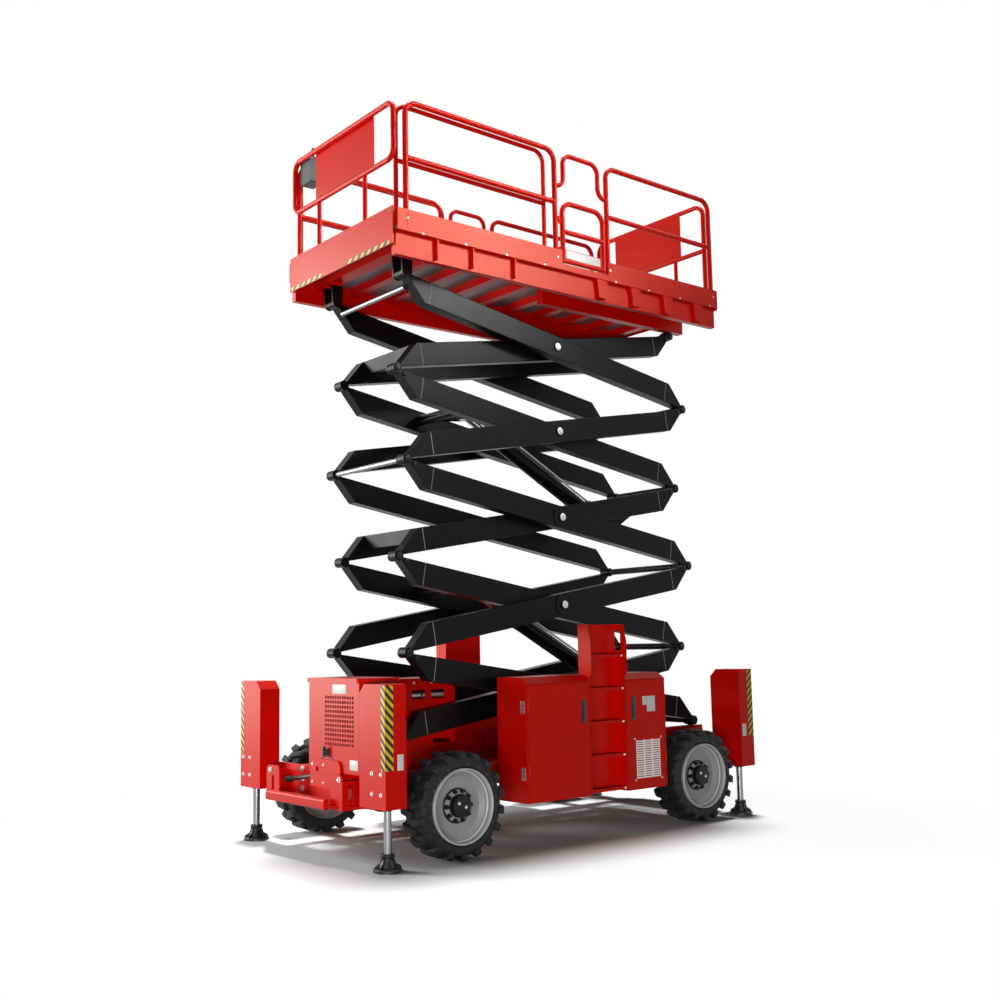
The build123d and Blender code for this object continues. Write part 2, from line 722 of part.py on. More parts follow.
# Lift cylinders
def lift_cylinder(name, vertex_level):
    vertex = (PIVOT_REAR_X, LEVEL[vertex_level])
    foot, head = cylinder_points(vertex)
    run = hypot(head[0] - foot[0], head[1] - foot[1])
    way = Vector((head[0] - foot[0]) / run, 0, (head[1] - foot[1]) / run)
    base = Plane(origin=(foot[0], 0, foot[1]), z_dir=way)
    grow = (Align.CENTER, Align.CENTER, Align.MIN)
    eye = cyl_y(CYL_EYE_R, foot[0], (-CYL_EYE_W / 2, CYL_EYE_W / 2), foot[1])
    lug = base * Pos(0, 0, 0) * Cylinder(CYL_LUG_R, CYL_LUG_LENGTH, align=grow)
    barrel_length = CYL_BARREL_LENGTH - CYL_LUG_LENGTH
    barrel = base * Pos(0, 0, CYL_LUG_LENGTH) * Cylinder(CYL_BARREL_R, barrel_length, align=grow)
    gland = base * Pos(0, 0, CYL_BARREL_LENGTH - 70) * Cylinder(CYL_BARREL_R + 9, 70, align=grow)
    bore_base = base * Pos(0, 0, CYL_LUG_LENGTH + 30)
    bore = bore_base * Cylinder(CYL_ROD_R + PIN_FIT, CYL_BARREL_LENGTH, align=grow)
    pipe = base * Pos(0, CYL_BARREL_R + 9, CYL_LUG_LENGTH + 40)
    pipe = pipe * Cylinder(12, CYL_BARREL_LENGTH - CYL_LUG_LENGTH - 80, align=grow)
    barrel = barrel + lug + gland + pipe + eye - bore
    barrel = barrel - cyl_y(CYL_EYE_PIN_R + PIN_FIT, foot[0], (-CYL_EYE_W, CYL_EYE_W), foot[1])
    node("cylinder_barrel_%s" % name, barrel)
    rod = base * Pos(0, 0, run - CYL_ROD_LENGTH) * Cylinder(CYL_ROD_R, CYL_ROD_LENGTH - 20, align=grow)
    ring = cyl_y(CYL_EYE_R - 8, head[0], (-CYL_EYE_W / 2, CYL_EYE_W / 2), head[1])
    node("cylinder_rod_%s" % name, rod + ring)


# Chassis
def chassis_frame():
    """Two long rails with the roller tracks on top, cross beams, arm brackets and outriggers."""
    part = None
    for side in SIDES:
        rail = block((-CHASSIS_HALF_X, CHASSIS_HALF_X), span(side, RAIL_IN_Y, RAIL_OUT_Y),
                     (RAIL_BOTTOM_Z, RAIL_TOP_Z))
        track = block((-CHASSIS_HALF_X - 90, -200), span(side, RAIL_IN_Y, TRACK_OUT_Y),
                      (RAIL_TOP_Z - 20, TRACK_TOP_Z))
        rail = rail + track
        part = rail if part is None else part + rail
        for low_y in (INNER_ARM_Y - BRACKET_GAP - BRACKET_T, INNER_ARM_Y + ARM_W + BRACKET_GAP):
            cheek = link_xz((PIVOT_FRONT_X, CROSS_BEAM_TOP_Z), (PIVOT_FRONT_X, PIVOT_Z), 90, 55,
                            span(side, low_y, low_y + BRACKET_T))
            part = part + cheek
        part = part + cyl_y(PIN_R, PIVOT_FRONT_X,
                            span(side, INNER_ARM_Y - BRACKET_GAP - BRACKET_T,
                                 INNER_ARM_Y + ARM_W + BRACKET_GAP + BRACKET_T), PIVOT_Z)
        for x in (-700, 500):
            part = part + block((x - 60, x + 60), span(side, RAIL_OUT_Y, CAB_IN_Y),
                                (RAIL_BOTTOM_Z + 20, RAIL_TOP_Z - 20))
    for x in (-CHASSIS_HALF_X + 50, -880, 0, 820, PIVOT_FRONT_X, CHASSIS_HALF_X - 50):
        part = part + block((x - 50, x + 50), (-RAIL_IN_Y, RAIL_IN_Y),
                            (CROSS_BEAM_TOP_Z - CROSS_BEAM_H, CROSS_BEAM_TOP_Z))
    for end in SIDES:
        wall = block((end * CHASSIS_HALF_X, end * FRAME_END_X),
                     (-JACK_HOUSING_IN_Y, JACK_HOUSING_IN_Y), (RAIL_BOTTOM_Z, RAIL_TOP_Z))
        part = part + wall
    return part


def jack_housing(end, side):
    """Welded box round the jack's guide tube, one top corner cut off, plated at the outer end."""
    back = JACK_X - JACK_HOUSING_L / 2
    front = JACK_X + JACK_HOUSING_L / 2
    x = (back, front) if end > 0 else (-front, -back)
    low, high = JACK_HOUSING_IN_Y, JACK_HOUSING_OUT_Y
    bottom, top = JACK_HOUSING_BOTTOM_Z, JACK_HOUSING_TOP_Z

    def outline(inset):
        chamfer = JACK_CHAMFER + inset * 0.4
        points = [(low + inset, bottom + inset), (high - inset, bottom + inset), (high - inset, top - inset),
                  (low + chamfer, top - inset), (low + inset, top - chamfer)]
        return [(side * y, z) for y, z in points]

    shell = prism_yz(outline(0), x)
    room = prism_yz(outline(JACK_WALL), (x[0] + JACK_WALL, x[1] - JACK_WALL))
    guide = cyl_z(JACK_ROD_R + 14, end * JACK_X, side * JACK_Y, (bottom, top - JACK_WALL))
    bore = cyl_z(JACK_ROD_R + PIN_FIT, end * JACK_X, side * JACK_Y, (bottom - 5, top - 3 * JACK_WALL))
    return shell - room + guide - bore


def jack_leg(end, side):
    """Plated rod and ribbed foot, turned about the rod's axis."""
    disc_h = 28.0
    rod_top = JACK_HOUSING_TOP_Z - 5 * JACK_WALL - JACK_STROKE
    outline = [(0, 0), (JACK_FOOT_R, 0), (JACK_FOOT_R, disc_h * 0.6), (JACK_FOOT_R - 12, disc_h),
               (70, disc_h + 8), (46, JACK_FOOT_H - 40), (46, JACK_FOOT_H), (JACK_ROD_R, JACK_FOOT_H),
               (JACK_ROD_R, rod_top), (0, rod_top)]
    face = make_face(Polyline(*[(r, 0, h) for r, h in outline], close=True))
    return Pos(end * JACK_X, side * JACK_Y, 0) * revolve(face, Axis.Z)


def tow_ear(front, y, slotted_front):
    """Bracket at one end of the tray: side plate with a slot, and a plate across its front."""
    back = FRAME_END_X
    z = (TRAY_BOTTOM_Z, EAR_PLATE_TOP_Z)
    outer = (y[1] - EAR_PLATE_T, y[1]) if y[0] > 0 else (y[0], y[0] + EAR_PLATE_T)
    face = block((front - EAR_PLATE_T, front), y, z)
    face = fillet(face.edges().filter_by(Axis.X).group_by(Axis.Z)[-1], 50)
    plate = block((back, front), outer, (z[0], z[1] - 50))
    slot_x = front - 75
    slot = link_xz((slot_x, EAR_SLOT_Z[0]), (slot_x, EAR_SLOT_Z[1]), EAR_SLOT_R, EAR_SLOT_R,
                   (outer[0] - 5, outer[1] + 5))
    ear = face + (plate - slot)
    if slotted_front:
        middle = (y[0] + y[1]) / 2
        across = (front - EAR_PLATE_T - 5, front + 5)
        for level in EAR_SLOT_Z:
            ear = ear - cyl_x(EAR_SLOT_R, across, middle, level)
        ear = ear - block(across, (middle - EAR_SLOT_R, middle + EAR_SLOT_R), EAR_SLOT_Z)
    return ear


def centre_plate():
    """Bored plate in the middle of the tray, with two webs back to the tray's back plate."""
    plate = block(CENTRE_PLATE_X, CENTRE_PLATE_Y, CENTRE_PLATE_Z)
    plate = fillet(plate.edges().filter_by(Axis.X).group_by(Axis.Z)[-1].sort_by(Axis.Y)[-1:], 60)
    plate = plate - cyl_x(EAR_SLOT_R, (CENTRE_PLATE_X[0] - 5, CENTRE_PLATE_X[1] + 5), *CENTRE_PLATE_HOLE)
    for y in (CENTRE_PLATE_Y[0], CENTRE_PLATE_Y[1] - EAR_PLATE_T):
        plate = plate + block((FRAME_END_X, CENTRE_PLATE_X[1] - 2), (y, y + EAR_PLATE_T),
                              (CENTRE_PLATE_Z[0], BACK_PLATE_TOP_Z))
    return plate


def tray(end):
    """Tow and tie-down tray: bent floor with a rounded lip, back plate, and two slotted ears."""
    back = FRAME_END_X
    floor = [(back, -TRAY_ROOT_Y), (TRAY_BEND_X, -TRAY_ROOT_Y), (TRAY_REACH_X, -TRAY_HALF_Y),
             (TRAY_REACH_X, TRAY_HALF_Y), (TRAY_BEND_X, TRAY_ROOT_Y), (back, TRAY_ROOT_Y)]
    lip = block((TRAY_REACH_X - TRAY_LIP_T, TRAY_REACH_X), (-TRAY_HALF_Y, TRAY_HALF_Y),
                (TRAY_BOTTOM_Z, TRAY_BOTTOM_Z + TRAY_LIP_H))
    lip = fillet(lip.edges().filter_by(Axis.Y).group_by(Axis.X)[-1], TRAY_LIP_R)
    plate_top = BACK_PLATE_TOP_Z if end > 0 else REAR_PLATE_TOP_Z
    plate = block((back, back + TRAY_T), (-TRAY_ROOT_Y, TRAY_ROOT_Y), (TRAY_BOTTOM_Z, plate_top))
    inset = [(x - 1 if x > back else x, y) for x, y in floor]
    part = prism_xy(inset, (TRAY_BOTTOM_Z + TRAY_LIP_R, TRAY_BOTTOM_Z + TRAY_LIP_R + TRAY_T)) + lip + plate
    part = part + tow_ear(NEAR_EAR_X, NEAR_EAR_Y, False) + tow_ear(FAR_EAR_X, FAR_EAR_Y, True)
    if end > 0:
        return part + centre_plate()
    return Rot(0, 0, 180) * part


def nose_cabinet():
    """Front equipment box, open at the back towards the frame, with a cut-out for its grille."""
    x = (NOSE_BACK_X, NOSE_FRONT_X)
    y = (NOSE_IN_Y, NOSE_OUT_Y)
    shell = block(x, y, (NOSE_BOTTOM_Z, NOSE_TOP_Z))
    room = block((x[0] - 10, x[1] - CAB_WALL), (y[0] + CAB_WALL, y[1] - CAB_WALL),
                 (NOSE_BOTTOM_Z + CAB_WALL, NOSE_TOP_Z + 10))
    window = block((x[1] - 2 * CAB_WALL, x[1] + 10), GRILLE_Y, GRILLE_Z)
    legs = block((CHASSIS_HALF_X - 60, CHASSIS_HALF_X), (y[0] + 20, RAIL_IN_Y + 60),
                 (RAIL_TOP_Z, NOSE_BOTTOM_Z))
    return shell - room - window + legs


def nose_grille():
    """Sheet with square holes, set flush in the front cabinet's cut-out."""
    x = (NOSE_FRONT_X - CAB_WALL, NOSE_FRONT_X)
    y = (GRILLE_Y[0] + SEAT_GAP, GRILLE_Y[1] - SEAT_GAP)
    z = (GRILLE_Z[0] + SEAT_GAP, GRILLE_Z[1] - SEAT_GAP)
    plate = block(x, y, z)
    return plate - hole_grid((x[0] - 2, x[1] + 2), GRILLE_Y, GRILLE_Z, GRILLE_COLUMNS, GRILLE_ROWS)


def hole_grid(x, y, z, columns, rows):
    """Blocks for a grid of holes that covers a panel facing forward."""
    step_y = (y[1] - y[0]) / columns
    step_z = (z[1] - z[0]) / rows
    half_y = step_y * GRILLE_OPEN / 2
    half_z = step_z * GRILLE_OPEN / 2
    holes = []
    for column in range(columns):
        middle_y = y[0] + (column + 0.5) * step_y
        for row in range(rows):
            middle_z = z[0] + (row + 0.5) * step_z
            hole_z = (middle_z - half_z, middle_z + half_z)
            holes.append(block(x, (middle_y - half_y, middle_y + half_y), hole_z))
    return holes


def hydraulic_tank():
    """Sheet box on the frame between the lowest arms, with windows in its left side."""
    low, high = CROSS_BEAM_TOP_Z, TANK_TOP_Z
    shell = block(TANK_X, TANK_Y, (low, high))
    room = block((TANK_X[0] + CAB_WALL, TANK_X[1] - CAB_WALL), (TANK_Y[0] + CAB_WALL, TANK_Y[1] - CAB_WALL),
                 (low + CAB_WALL, high - CAB_WALL))
    part = shell - room
    for x, z in TANK_WINDOWS:
        part = part - block(x, (TANK_Y[1] - 2 * CAB_WALL, TANK_Y[1] + CAB_WALL), z)
    return part


def nose_lid():
    lip = NOSE_LID_LIP
    lid = block((NOSE_BACK_X - lip, NOSE_FRONT_X + lip), (NOSE_IN_Y - lip, NOSE_OUT_Y),
                (NOSE_TOP_Z, NOSE_TOP_Z + NOSE_LID_T))
    return fillet(lid.edges().filter_by(Axis.Z), 12)


# Side cabinets
def cabinet_plan(inset):
    return [(CAB_REAR_X + inset, CAB_IN_Y + inset), (CAB_REAR_X + inset, CAB_OUT_Y - inset),
            (CAB_FRONT_X - inset, CAB_OUT_Y - inset), (CAB_FRONT_X - inset, CAB_END_Y + inset * 0.4),
            (CAB_END_X - inset * 0.4, CAB_IN_Y + inset)]


def hood():
    """Cabinet top, bevelled along its outer side and at the rear end."""
    low = CAB_SHOULDER_Z + CAB_HOOD_LIP
    top = CAB_TOP_Z
    part = prism_xy(cabinet_plan(0), (CAB_SHOULDER_Z, top))
    side = [(CAB_OUT_Y, low), (CAB_OUT_Y - CAB_HOOD_INSET, top), (CAB_OUT_Y - CAB_HOOD_INSET, top + 5),
            (CAB_OUT_Y + 5, top + 5), (CAB_OUT_Y + 5, low)]
    rear = [(CAB_REAR_X, low), (CAB_REAR_X + CAB_HOOD_END, top), (CAB_REAR_X + CAB_HOOD_END, top + 5),
            (CAB_REAR_X - 5, top + 5), (CAB_REAR_X - 5, low)]
    part = part - prism_yz(side, (CAB_REAR_X - 5, CAB_FRONT_X + 5))
    return part - prism_xz(rear, (CAB_IN_Y - 5, CAB_OUT_Y + 5))


def cabinet():
    """Left side cabinet: folded shell with two doorways, a ladder bay and a bevelled hood."""
    body = prism_xy(cabinet_plan(0), (CAB_BOTTOM_Z, CAB_SHOULDER_Z)) + hood()
    body = body - prism_xy(cabinet_plan(CAB_WALL), (CAB_BOTTOM_Z + CAB_WALL, CAB_SHOULDER_Z - CAB_WALL))
    bay = block((LADDER_REAR_X, LADDER_FRONT_X), (CAB_OUT_Y - LADDER_DEPTH, CAB_OUT_Y + 10),
                (CAB_BOTTOM_Z - 5, CAB_TOP_Z + 5))
    lining = block((LADDER_REAR_X - CAB_WALL, LADDER_FRONT_X + CAB_WALL),
                   (CAB_OUT_Y - LADDER_DEPTH - CAB_WALL, CAB_OUT_Y - DOOR_T - DOOR_ROOM),
                   (CAB_BOTTOM_Z + 1, CAB_SHOULDER_Z - 1))
    body = body + lining - bay
    depth = (CAB_OUT_Y - DOOR_T - DOOR_ROOM, CAB_OUT_Y + 10)
    for x in (FRONT_DOOR_X, REAR_DOOR_X):
        body = body - block((x[0] - DOOR_GAP, x[1] + DOOR_GAP), depth, (CAB_BOTTOM_Z - 5, CAB_SHOULDER_Z))
    for x, hung_at_front in ((FRONT_DOOR_X, True), (REAR_DOOR_X, False)):
        axis = door_hinge_x(x, hung_at_front)
        reach = DOOR_POST - DOOR_GAP if hung_at_front else DOOR_GAP - DOOR_POST
        for low in DOOR_HINGE_Z:
            straps = [strap(axis, reach, z) for z in lug_levels(low)]
            body = body + hinge_pin(axis, DOOR_HINGE_Y, low, DOOR_HINGE_R, straps)
    return body


def door_hinge_x(x, hung_at_front):
    """Hinge axis over the gap between a door and its corner post."""
    return x[1] + DOOR_GAP / 2 if hung_at_front else x[0] - DOOR_GAP / 2


def strap(x, reach, z):
    """Flat strap on the cabinet's face, from a hinge axis so far along x."""
    flat = block(sorted((x, x + reach)), (CAB_OUT_Y, CAB_OUT_Y + STRAP_T), z)
    return flat + block((x - 3, x + 3), (CAB_OUT_Y, DOOR_HINGE_Y), z)


def door(x, hung_at_front, vented):
    """Sheet door in the cabinet's side, hung on two pins at one upright edge."""
    leaf = block(x, (CAB_OUT_Y - DOOR_T, CAB_OUT_Y), (CAB_BOTTOM_Z, CAB_SHOULDER_Z - DOOR_GAP))
    if vented:
        width = (VENT_X[1] - VENT_X[0]) / VENT_COLUMNS
        pitch = (VENT_Z[1] - VENT_Z[0]) / VENT_ROWS
        for column in range(VENT_COLUMNS):
            left = VENT_X[0] + column * width
            for row in range(VENT_ROWS):
                low = VENT_Z[0] + (row + 0.3) * pitch
                leaf = leaf - block((left + 8, left + width - 8), (CAB_OUT_Y - DOOR_T - 1, CAB_OUT_Y + 1),
                                    (low, low + 0.4 * pitch))
    axis = door_hinge_x(x, hung_at_front)
    reach = -2 * DOOR_POST if hung_at_front else 2 * DOOR_POST
    for low in DOOR_HINGE_Z:
        carried = strap(axis, reach, (low, low + HINGE_H))
        leaf = leaf + hinge_barrel(axis, DOOR_HINGE_Y, low, DOOR_HINGE_R, carried)
    return leaf


def ladder():
    """Boarding steps in the cabinet's bay, with cheek plates that stand above the hood."""
    x = (LADDER_REAR_X + 2, LADDER_FRONT_X - 2)
    back = CAB_OUT_Y - LADDER_DEPTH
    low = CAB_BOTTOM_Z + 5
    outline = [(back, low), (CAB_OUT_Y, low), (CAB_OUT_Y, CAB_TOP_Z - 20), (LADDER_OUT_Y, CAB_TOP_Z + 20),
               (LADDER_OUT_Y, LADDER_SLANT_Z), (LADDER_TOP_Y, LADDER_TOP_Z), (back, LADDER_TOP_Z)]
    part = block(x, (back, back + LADDER_PLATE), (low, LADDER_TOP_Z))
    for plate_x in ((x[0], x[0] + LADDER_PLATE), (x[1] - LADDER_PLATE, x[1])):
        part = part + prism_yz(outline, plate_x)
    grab = block((x[0] - 1, x[0] + LADDER_PLATE + 1), GRAB_Y, GRAB_Z)
    part = part - fillet(grab.edges().filter_by(Axis.X), 20)
    for row in range(RUNGS):
        z = RUNG_FIRST_Z + row * RUNG_PITCH
        part = part + block(x, (CAB_OUT_Y - RUNG_D, CAB_OUT_Y - 2), (z, z + RUNG_H))
    return part


# Platform
def platform_frame():
    """Side beams, cross members, scissor tracks and front arm brackets under the deck."""
    low = DECK_Z + DECK_BEAM_BOTTOM
    high = low + DECK_BEAM_H
    part = None
    for side in SIDES:
        beam = block((DECK_REAR_X + TOE_T, DECK_FRONT_X), span(side, DECK_BEAM_Y - DECK_BEAM_T, DECK_BEAM_Y),
                     (low, high))
        part = beam if part is None else part + beam
        track_low = DECK_Z + ROLLER_R + 0.3
        part = part + block((DECK_REAR_X + 60, -150), span(side, INNER_ARM_Y + 15, INNER_ARM_Y + ARM_W - 15),
                            (track_low, high - 5))
        for y in (OUTER_ARM_Y - BRACKET_GAP - BRACKET_T, OUTER_ARM_Y + ARM_W + BRACKET_GAP):
            part = part + link_xz((PIVOT_FRONT_X, high - 60), (PIVOT_FRONT_X, DECK_Z), 60, 50,
                                  span(side, y, y + BRACKET_T))
        part = part + cyl_y(PIN_R, PIVOT_FRONT_X,
                            span(side, OUTER_ARM_Y - BRACKET_GAP - BRACKET_T,
                                 OUTER_ARM_Y + ARM_W + BRACKET_GAP + BRACKET_T), DECK_Z)
        outside = span(side, DECK_BEAM_Y, DECK_SIDE_Y - TOE_T)
        for x in RIB_X:
            rib = [(x - RIB_TOP, high), (x + RIB_TOP, high), (x + RIB_LOW, low + 20), (x - RIB_LOW, low + 20)]
            part = part + prism_xz(rib, outside)
        for x in GUSSET_X:
            part = part + block((x - GUSSET_T / 2, x + GUSSET_T / 2), outside, (low + 20, high))
    count = int((DECK_FRONT_X - DECK_REAR_X - 2 * DECK_CROSS_W) // DECK_CROSS_PITCH) + 1
    first = (DECK_FRONT_X + DECK_REAR_X - (count - 1) * DECK_CROSS_PITCH) / 2
    for number in range(count):
        x = first + number * DECK_CROSS_PITCH
        part = part + block((x - DECK_CROSS_W / 2, x + DECK_CROSS_W / 2),
                            (-DECK_BEAM_Y + 5, DECK_BEAM_Y - 5), (high - DECK_CROSS_H, high))
    front_beam = block((PIVOT_FRONT_X - 60, PIVOT_FRONT_X + 60), (-DECK_BEAM_Y + 5, DECK_BEAM_Y - 5),
                       (high - DECK_CROSS_H, high))
    return part + front_beam


def platform_floor():
    low = DECK_Z + DECK_BEAM_BOTTOM + DECK_BEAM_H
    half = DECK_SIDE_Y - TOE_T
    return block((DECK_REAR_X + TOE_T, DECK_FRONT_X), (-half, half), (low, FLOOR_Z))


def hoop_x(x0, x1, y, foot, top):
    return tube([(x0, y, foot), (x0, y, top), (x1, y, top), (x1, y, foot)], TUBE_R, TUBE_BEND)


def side_rail():
    """Left side: two hooped rails with mid bars, toe boards, and the fixed hoop over the gate."""
    y = DECK_SIDE_Y - TOE_T - TUBE_R + WELD
    top = DECK_Z + RAIL_TOP
    mid = DECK_Z + RAIL_MID
    board_low = DECK_Z + DECK_BEAM_BOTTOM + DECK_BEAM_H - 15
    rear_post = GATE_REAR_X - 30
    part = None
    for front, rear in ((RAIL_FRONT_X, GATE_POST_X), (rear_post, DECK_REAR_X + 60)):
        hoop = hoop_x(front, rear, y, FLOOR_Z, top)
        bar = tube([(front, y, mid), (rear, y, mid)], TUBE_R, 0)
        part = hoop + bar if part is None else part + hoop + bar
    boards = ((GATE_FRONT_X + 20, TOE_FRONT_X, TOE_TOP), (DECK_REAR_X, GATE_REAR_X - 5, TOE_TOP),
              (GATE_REAR_X - 5, GATE_FRONT_X + 20, DECK_FLOOR_TOP + 25))
    for rear, front, board_top in boards:
        board_z = (board_low, DECK_Z + board_top)
        part = part + block((rear, front), (DECK_SIDE_Y - TOE_T, DECK_SIDE_Y), board_z)
    low = top - HEADER_LEG
    high = top - 10
    ends = (GATE_POST_X - HEADER_STUB, rear_post + HEADER_STUB)
    header = [(GATE_POST_X, y, low), (ends[0], y, low), (ends[0], y, high),
              (ends[1], y, high), (ends[1], y, low), (rear_post, y, low)]
    part = part + tube(header, TUBE_R - 2, HEADER_BEND)
    axis = gate_hinge_x()
    for hinge_z in GATE_HINGE_Z:
        straps = [block((axis, GATE_POST_X), (y - 5, y + 5), z) for z in lug_levels(hinge_z)]
        part = part + hinge_pin(axis, y, hinge_z, GATE_HINGE_R, straps)
    return part


def gate_hinge_x():
    """Midway between the fixed post and the gate's own front tube."""
    return (GATE_FRONT_X - GATE_CLEAR + GATE_POST_X) / 2


def gate():
    """Left swing gate: hoop, middle bar and a blank plate, hung on its front post."""
    y = DECK_SIDE_Y - TOE_T - TUBE_R + WELD
    low = FLOOR_Z + 45
    top = DECK_Z + GATE_TOP
    front = GATE_FRONT_X - GATE_CLEAR
    rear = GATE_REAR_X + 30
    hoop = hoop_x(front, rear, y, low, top)
    for z in (low + TUBE_R, DECK_Z + GATE_BAR):
        hoop = hoop + tube([(front, y, z), (rear, y, z)], TUBE_R, 0)
    plate = block((rear, front), (y - 4, y + 4), (low + TUBE_R + 10, low + TUBE_R + 110))
    hoop = hoop + plate
    axis = gate_hinge_x()
    for z in GATE_HINGE_Z:
        carried = block((front, axis), (y - 5, y + 5), (z, z + HINGE_H))
        hoop = hoop + hinge_barrel(axis, y, z, GATE_HINGE_R, carried)
    return hoop


def rear_rail():
    """Rear end: hoop, mid bar, two short posts and the toe board."""
    x = DECK_REAR_X + TOE_T + TUBE_R - WELD
    y = DECK_SIDE_Y - 120
    top = DECK_Z + RAIL_TOP
    mid = DECK_Z + RAIL_MID
    part = tube([(x, -y, FLOOR_Z), (x, -y, top), (x, y, top), (x, y, FLOOR_Z)], TUBE_R, TUBE_BEND)
    part = part + tube([(x, -y, mid), (x, y, mid)], TUBE_R, 0)
    for post_y in END_POSTS_Y:
        part = part + tube([(x, post_y, FLOOR_Z), (x, post_y, mid)], EXT_TUBE_R, 0)
    board = block((DECK_REAR_X, DECK_REAR_X + TOE_T), (-DECK_SIDE_Y + TOE_T, DECK_SIDE_Y - TOE_T),
                  (FLOOR_Z - 55, DECK_Z + TOE_TOP))
    return part + board


def panel(x):
    """Sheet panel hung between top and mid rails on the inside of an end frame."""
    return block((x, x + PANEL_T), (-PANEL_HALF_Y, PANEL_HALF_Y), (DECK_Z + RAIL_MID, DECK_Z + RAIL_TOP))


def extension_floor():
    low = FLOOR_Z + EXT_FLOOR_LIFT
    part = block((EXT_REAR_X, EXT_FRONT_X - EXT_PLATE_T), (-EXT_RAIL_Y - 15, EXT_RAIL_Y + 15),
                 (low, low + EXT_FLOOR_T))
    for side in SIDES:
        for x in (EXT_REAR_X, EXT_REAR_X + EXT_PAD_PITCH):
            part = part + block((x, x + EXT_PAD_L), span(side, EXT_RAIL_Y - EXT_PAD_W, EXT_RAIL_Y),
                                (FLOOR_Z + SEAT_GAP, low + WELD))
    return part


def extension_plate():
    return block((EXT_FRONT_X - EXT_PLATE_T, EXT_FRONT_X), (-EXT_FRONT_Y, EXT_FRONT_Y),
                 (DECK_Z + EXT_PLATE_BOTTOM, DECK_Z + EXT_PLATE_TOP))


def extension_rails():
    """Rails that travel with the roll-out deck: a closed loop across the front and two nested hoops."""
    low = FLOOR_Z + EXT_FLOOR_LIFT + EXT_FLOOR_T
    x = EXT_FRONT_X - EXT_PLATE_T - TUBE_R
    top = DECK_Z + RAIL_TOP
    mid = DECK_Z + RAIL_MID
    between = (top + mid) / 2
    part = None
    for level, over, radius in ((top, -EXT_LOOP_LAP, TUBE_R), (mid, EXT_LOOP_LAP, TUBE_R - 1)):
        ends = between + over
        half = tube([(x, -EXT_LOOP_Y, ends), (x, -EXT_LOOP_Y, level), (x, EXT_LOOP_Y, level),
                     (x, EXT_LOOP_Y, ends)], radius, EXT_LOOP_BEND)
        part = half if part is None else part + half
    for y in END_POSTS_Y:
        part = part + tube([(x, y, low), (x, y, mid)], EXT_TUBE_R, 0)
    front, rear = EXT_POSTS_X
    for side in SIDES:
        y = side * EXT_RAIL_Y
        high = top - EXT_RAIL_DROP
        hoop_path = [(front, y, low), (front, y, high), (rear, y, high), (rear, y, low)]
        hoop = tube(hoop_path, EXT_TUBE_R, TUBE_BEND)
        bar_z = mid - EXT_RAIL_DROP
        part = part + hoop + tube([(front, y, bar_z), (rear, y, bar_z)], EXT_TUBE_R, 0)
    return part


def control_box():
    x = EXT_FRONT_X - EXT_PLATE_T - 2 * TUBE_R
    z = (DECK_Z + RAIL_TOP - 230, DECK_Z + RAIL_TOP + 15)
    box = block((x - CONTROL_DEPTH, x - SEAT_GAP), CONTROL_Y, z)
    return fillet(box.edges().filter_by(Axis.X), 15)


def build():
    os.makedirs("parts", exist_ok=True)
    corners = (("front_left", AXLE_X, 1), ("front_right", AXLE_X, -1),
               ("rear_left", -AXLE_X, 1), ("rear_right", -AXLE_X, -1))
    for name, x, side in corners:
        node("tyre_" + name, tyre(x, side))
        node("rim_" + name, rim(x, side))
        node("jack_leg_" + name, jack_leg(1 if x > 0 else -1, side))
    node("front_axle", front_axle())
    node("rear_axle", rear_axle())
    node("knuckle_left", knuckle(1))
    node("knuckle_right", knuckle(-1))
    node("chassis_frame", chassis_frame())
    node("jack_housings", [jack_housing(end, side) for end in SIDES for side in SIDES])
    node("tow_trays", [tray(1), tray(-1)])
    node("ladders", both_sides(ladder()))
    node("nose_cabinet", nose_cabinet())
    node("nose_lid", nose_lid())
    node("nose_grille", nose_grille())
    node("hydraulic_tank", hydraulic_tank())
    left = {"cabinet": cabinet(),
            "door_front": door(FRONT_DOOR_X, True, False),
            "door_rear": door(REAR_DOOR_X, False, True),
            "side_rail": side_rail(), "gate": gate()}
    for name, part in left.items():
        node(name + "_left", part)
        node(name + "_right", mirrored(part))
    node("engine_block", block(ENGINE_X, ENGINE_Y, (CAB_BOTTOM_Z + CAB_WALL, ENGINE_TOP_Z)))
    inner_arms()
    outer_arms()
    lift_cylinder("lower", 1)
    lift_cylinder("upper", 3)
    node("platform_frame", platform_frame())
    node("platform_floor", platform_floor())
    node("rear_rail", rear_rail())
    node("rear_panel", panel(DECK_REAR_X + TOE_T + 2 * TUBE_R - WELD + SEAT_GAP))
    node("extension_floor", extension_floor())
    node("extension_plate", extension_plate())
    node("extension_rails", extension_rails())
    node("extension_panel", panel(EXT_FRONT_X - EXT_PLATE_T - 2 * TUBE_R - PANEL_T - SEAT_GAP))
    node("control_box", control_box())


build()
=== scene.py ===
from math import asin, cos, pi, radians, sin

import bmesh
import bpy
from mathutils import Matrix, Vector


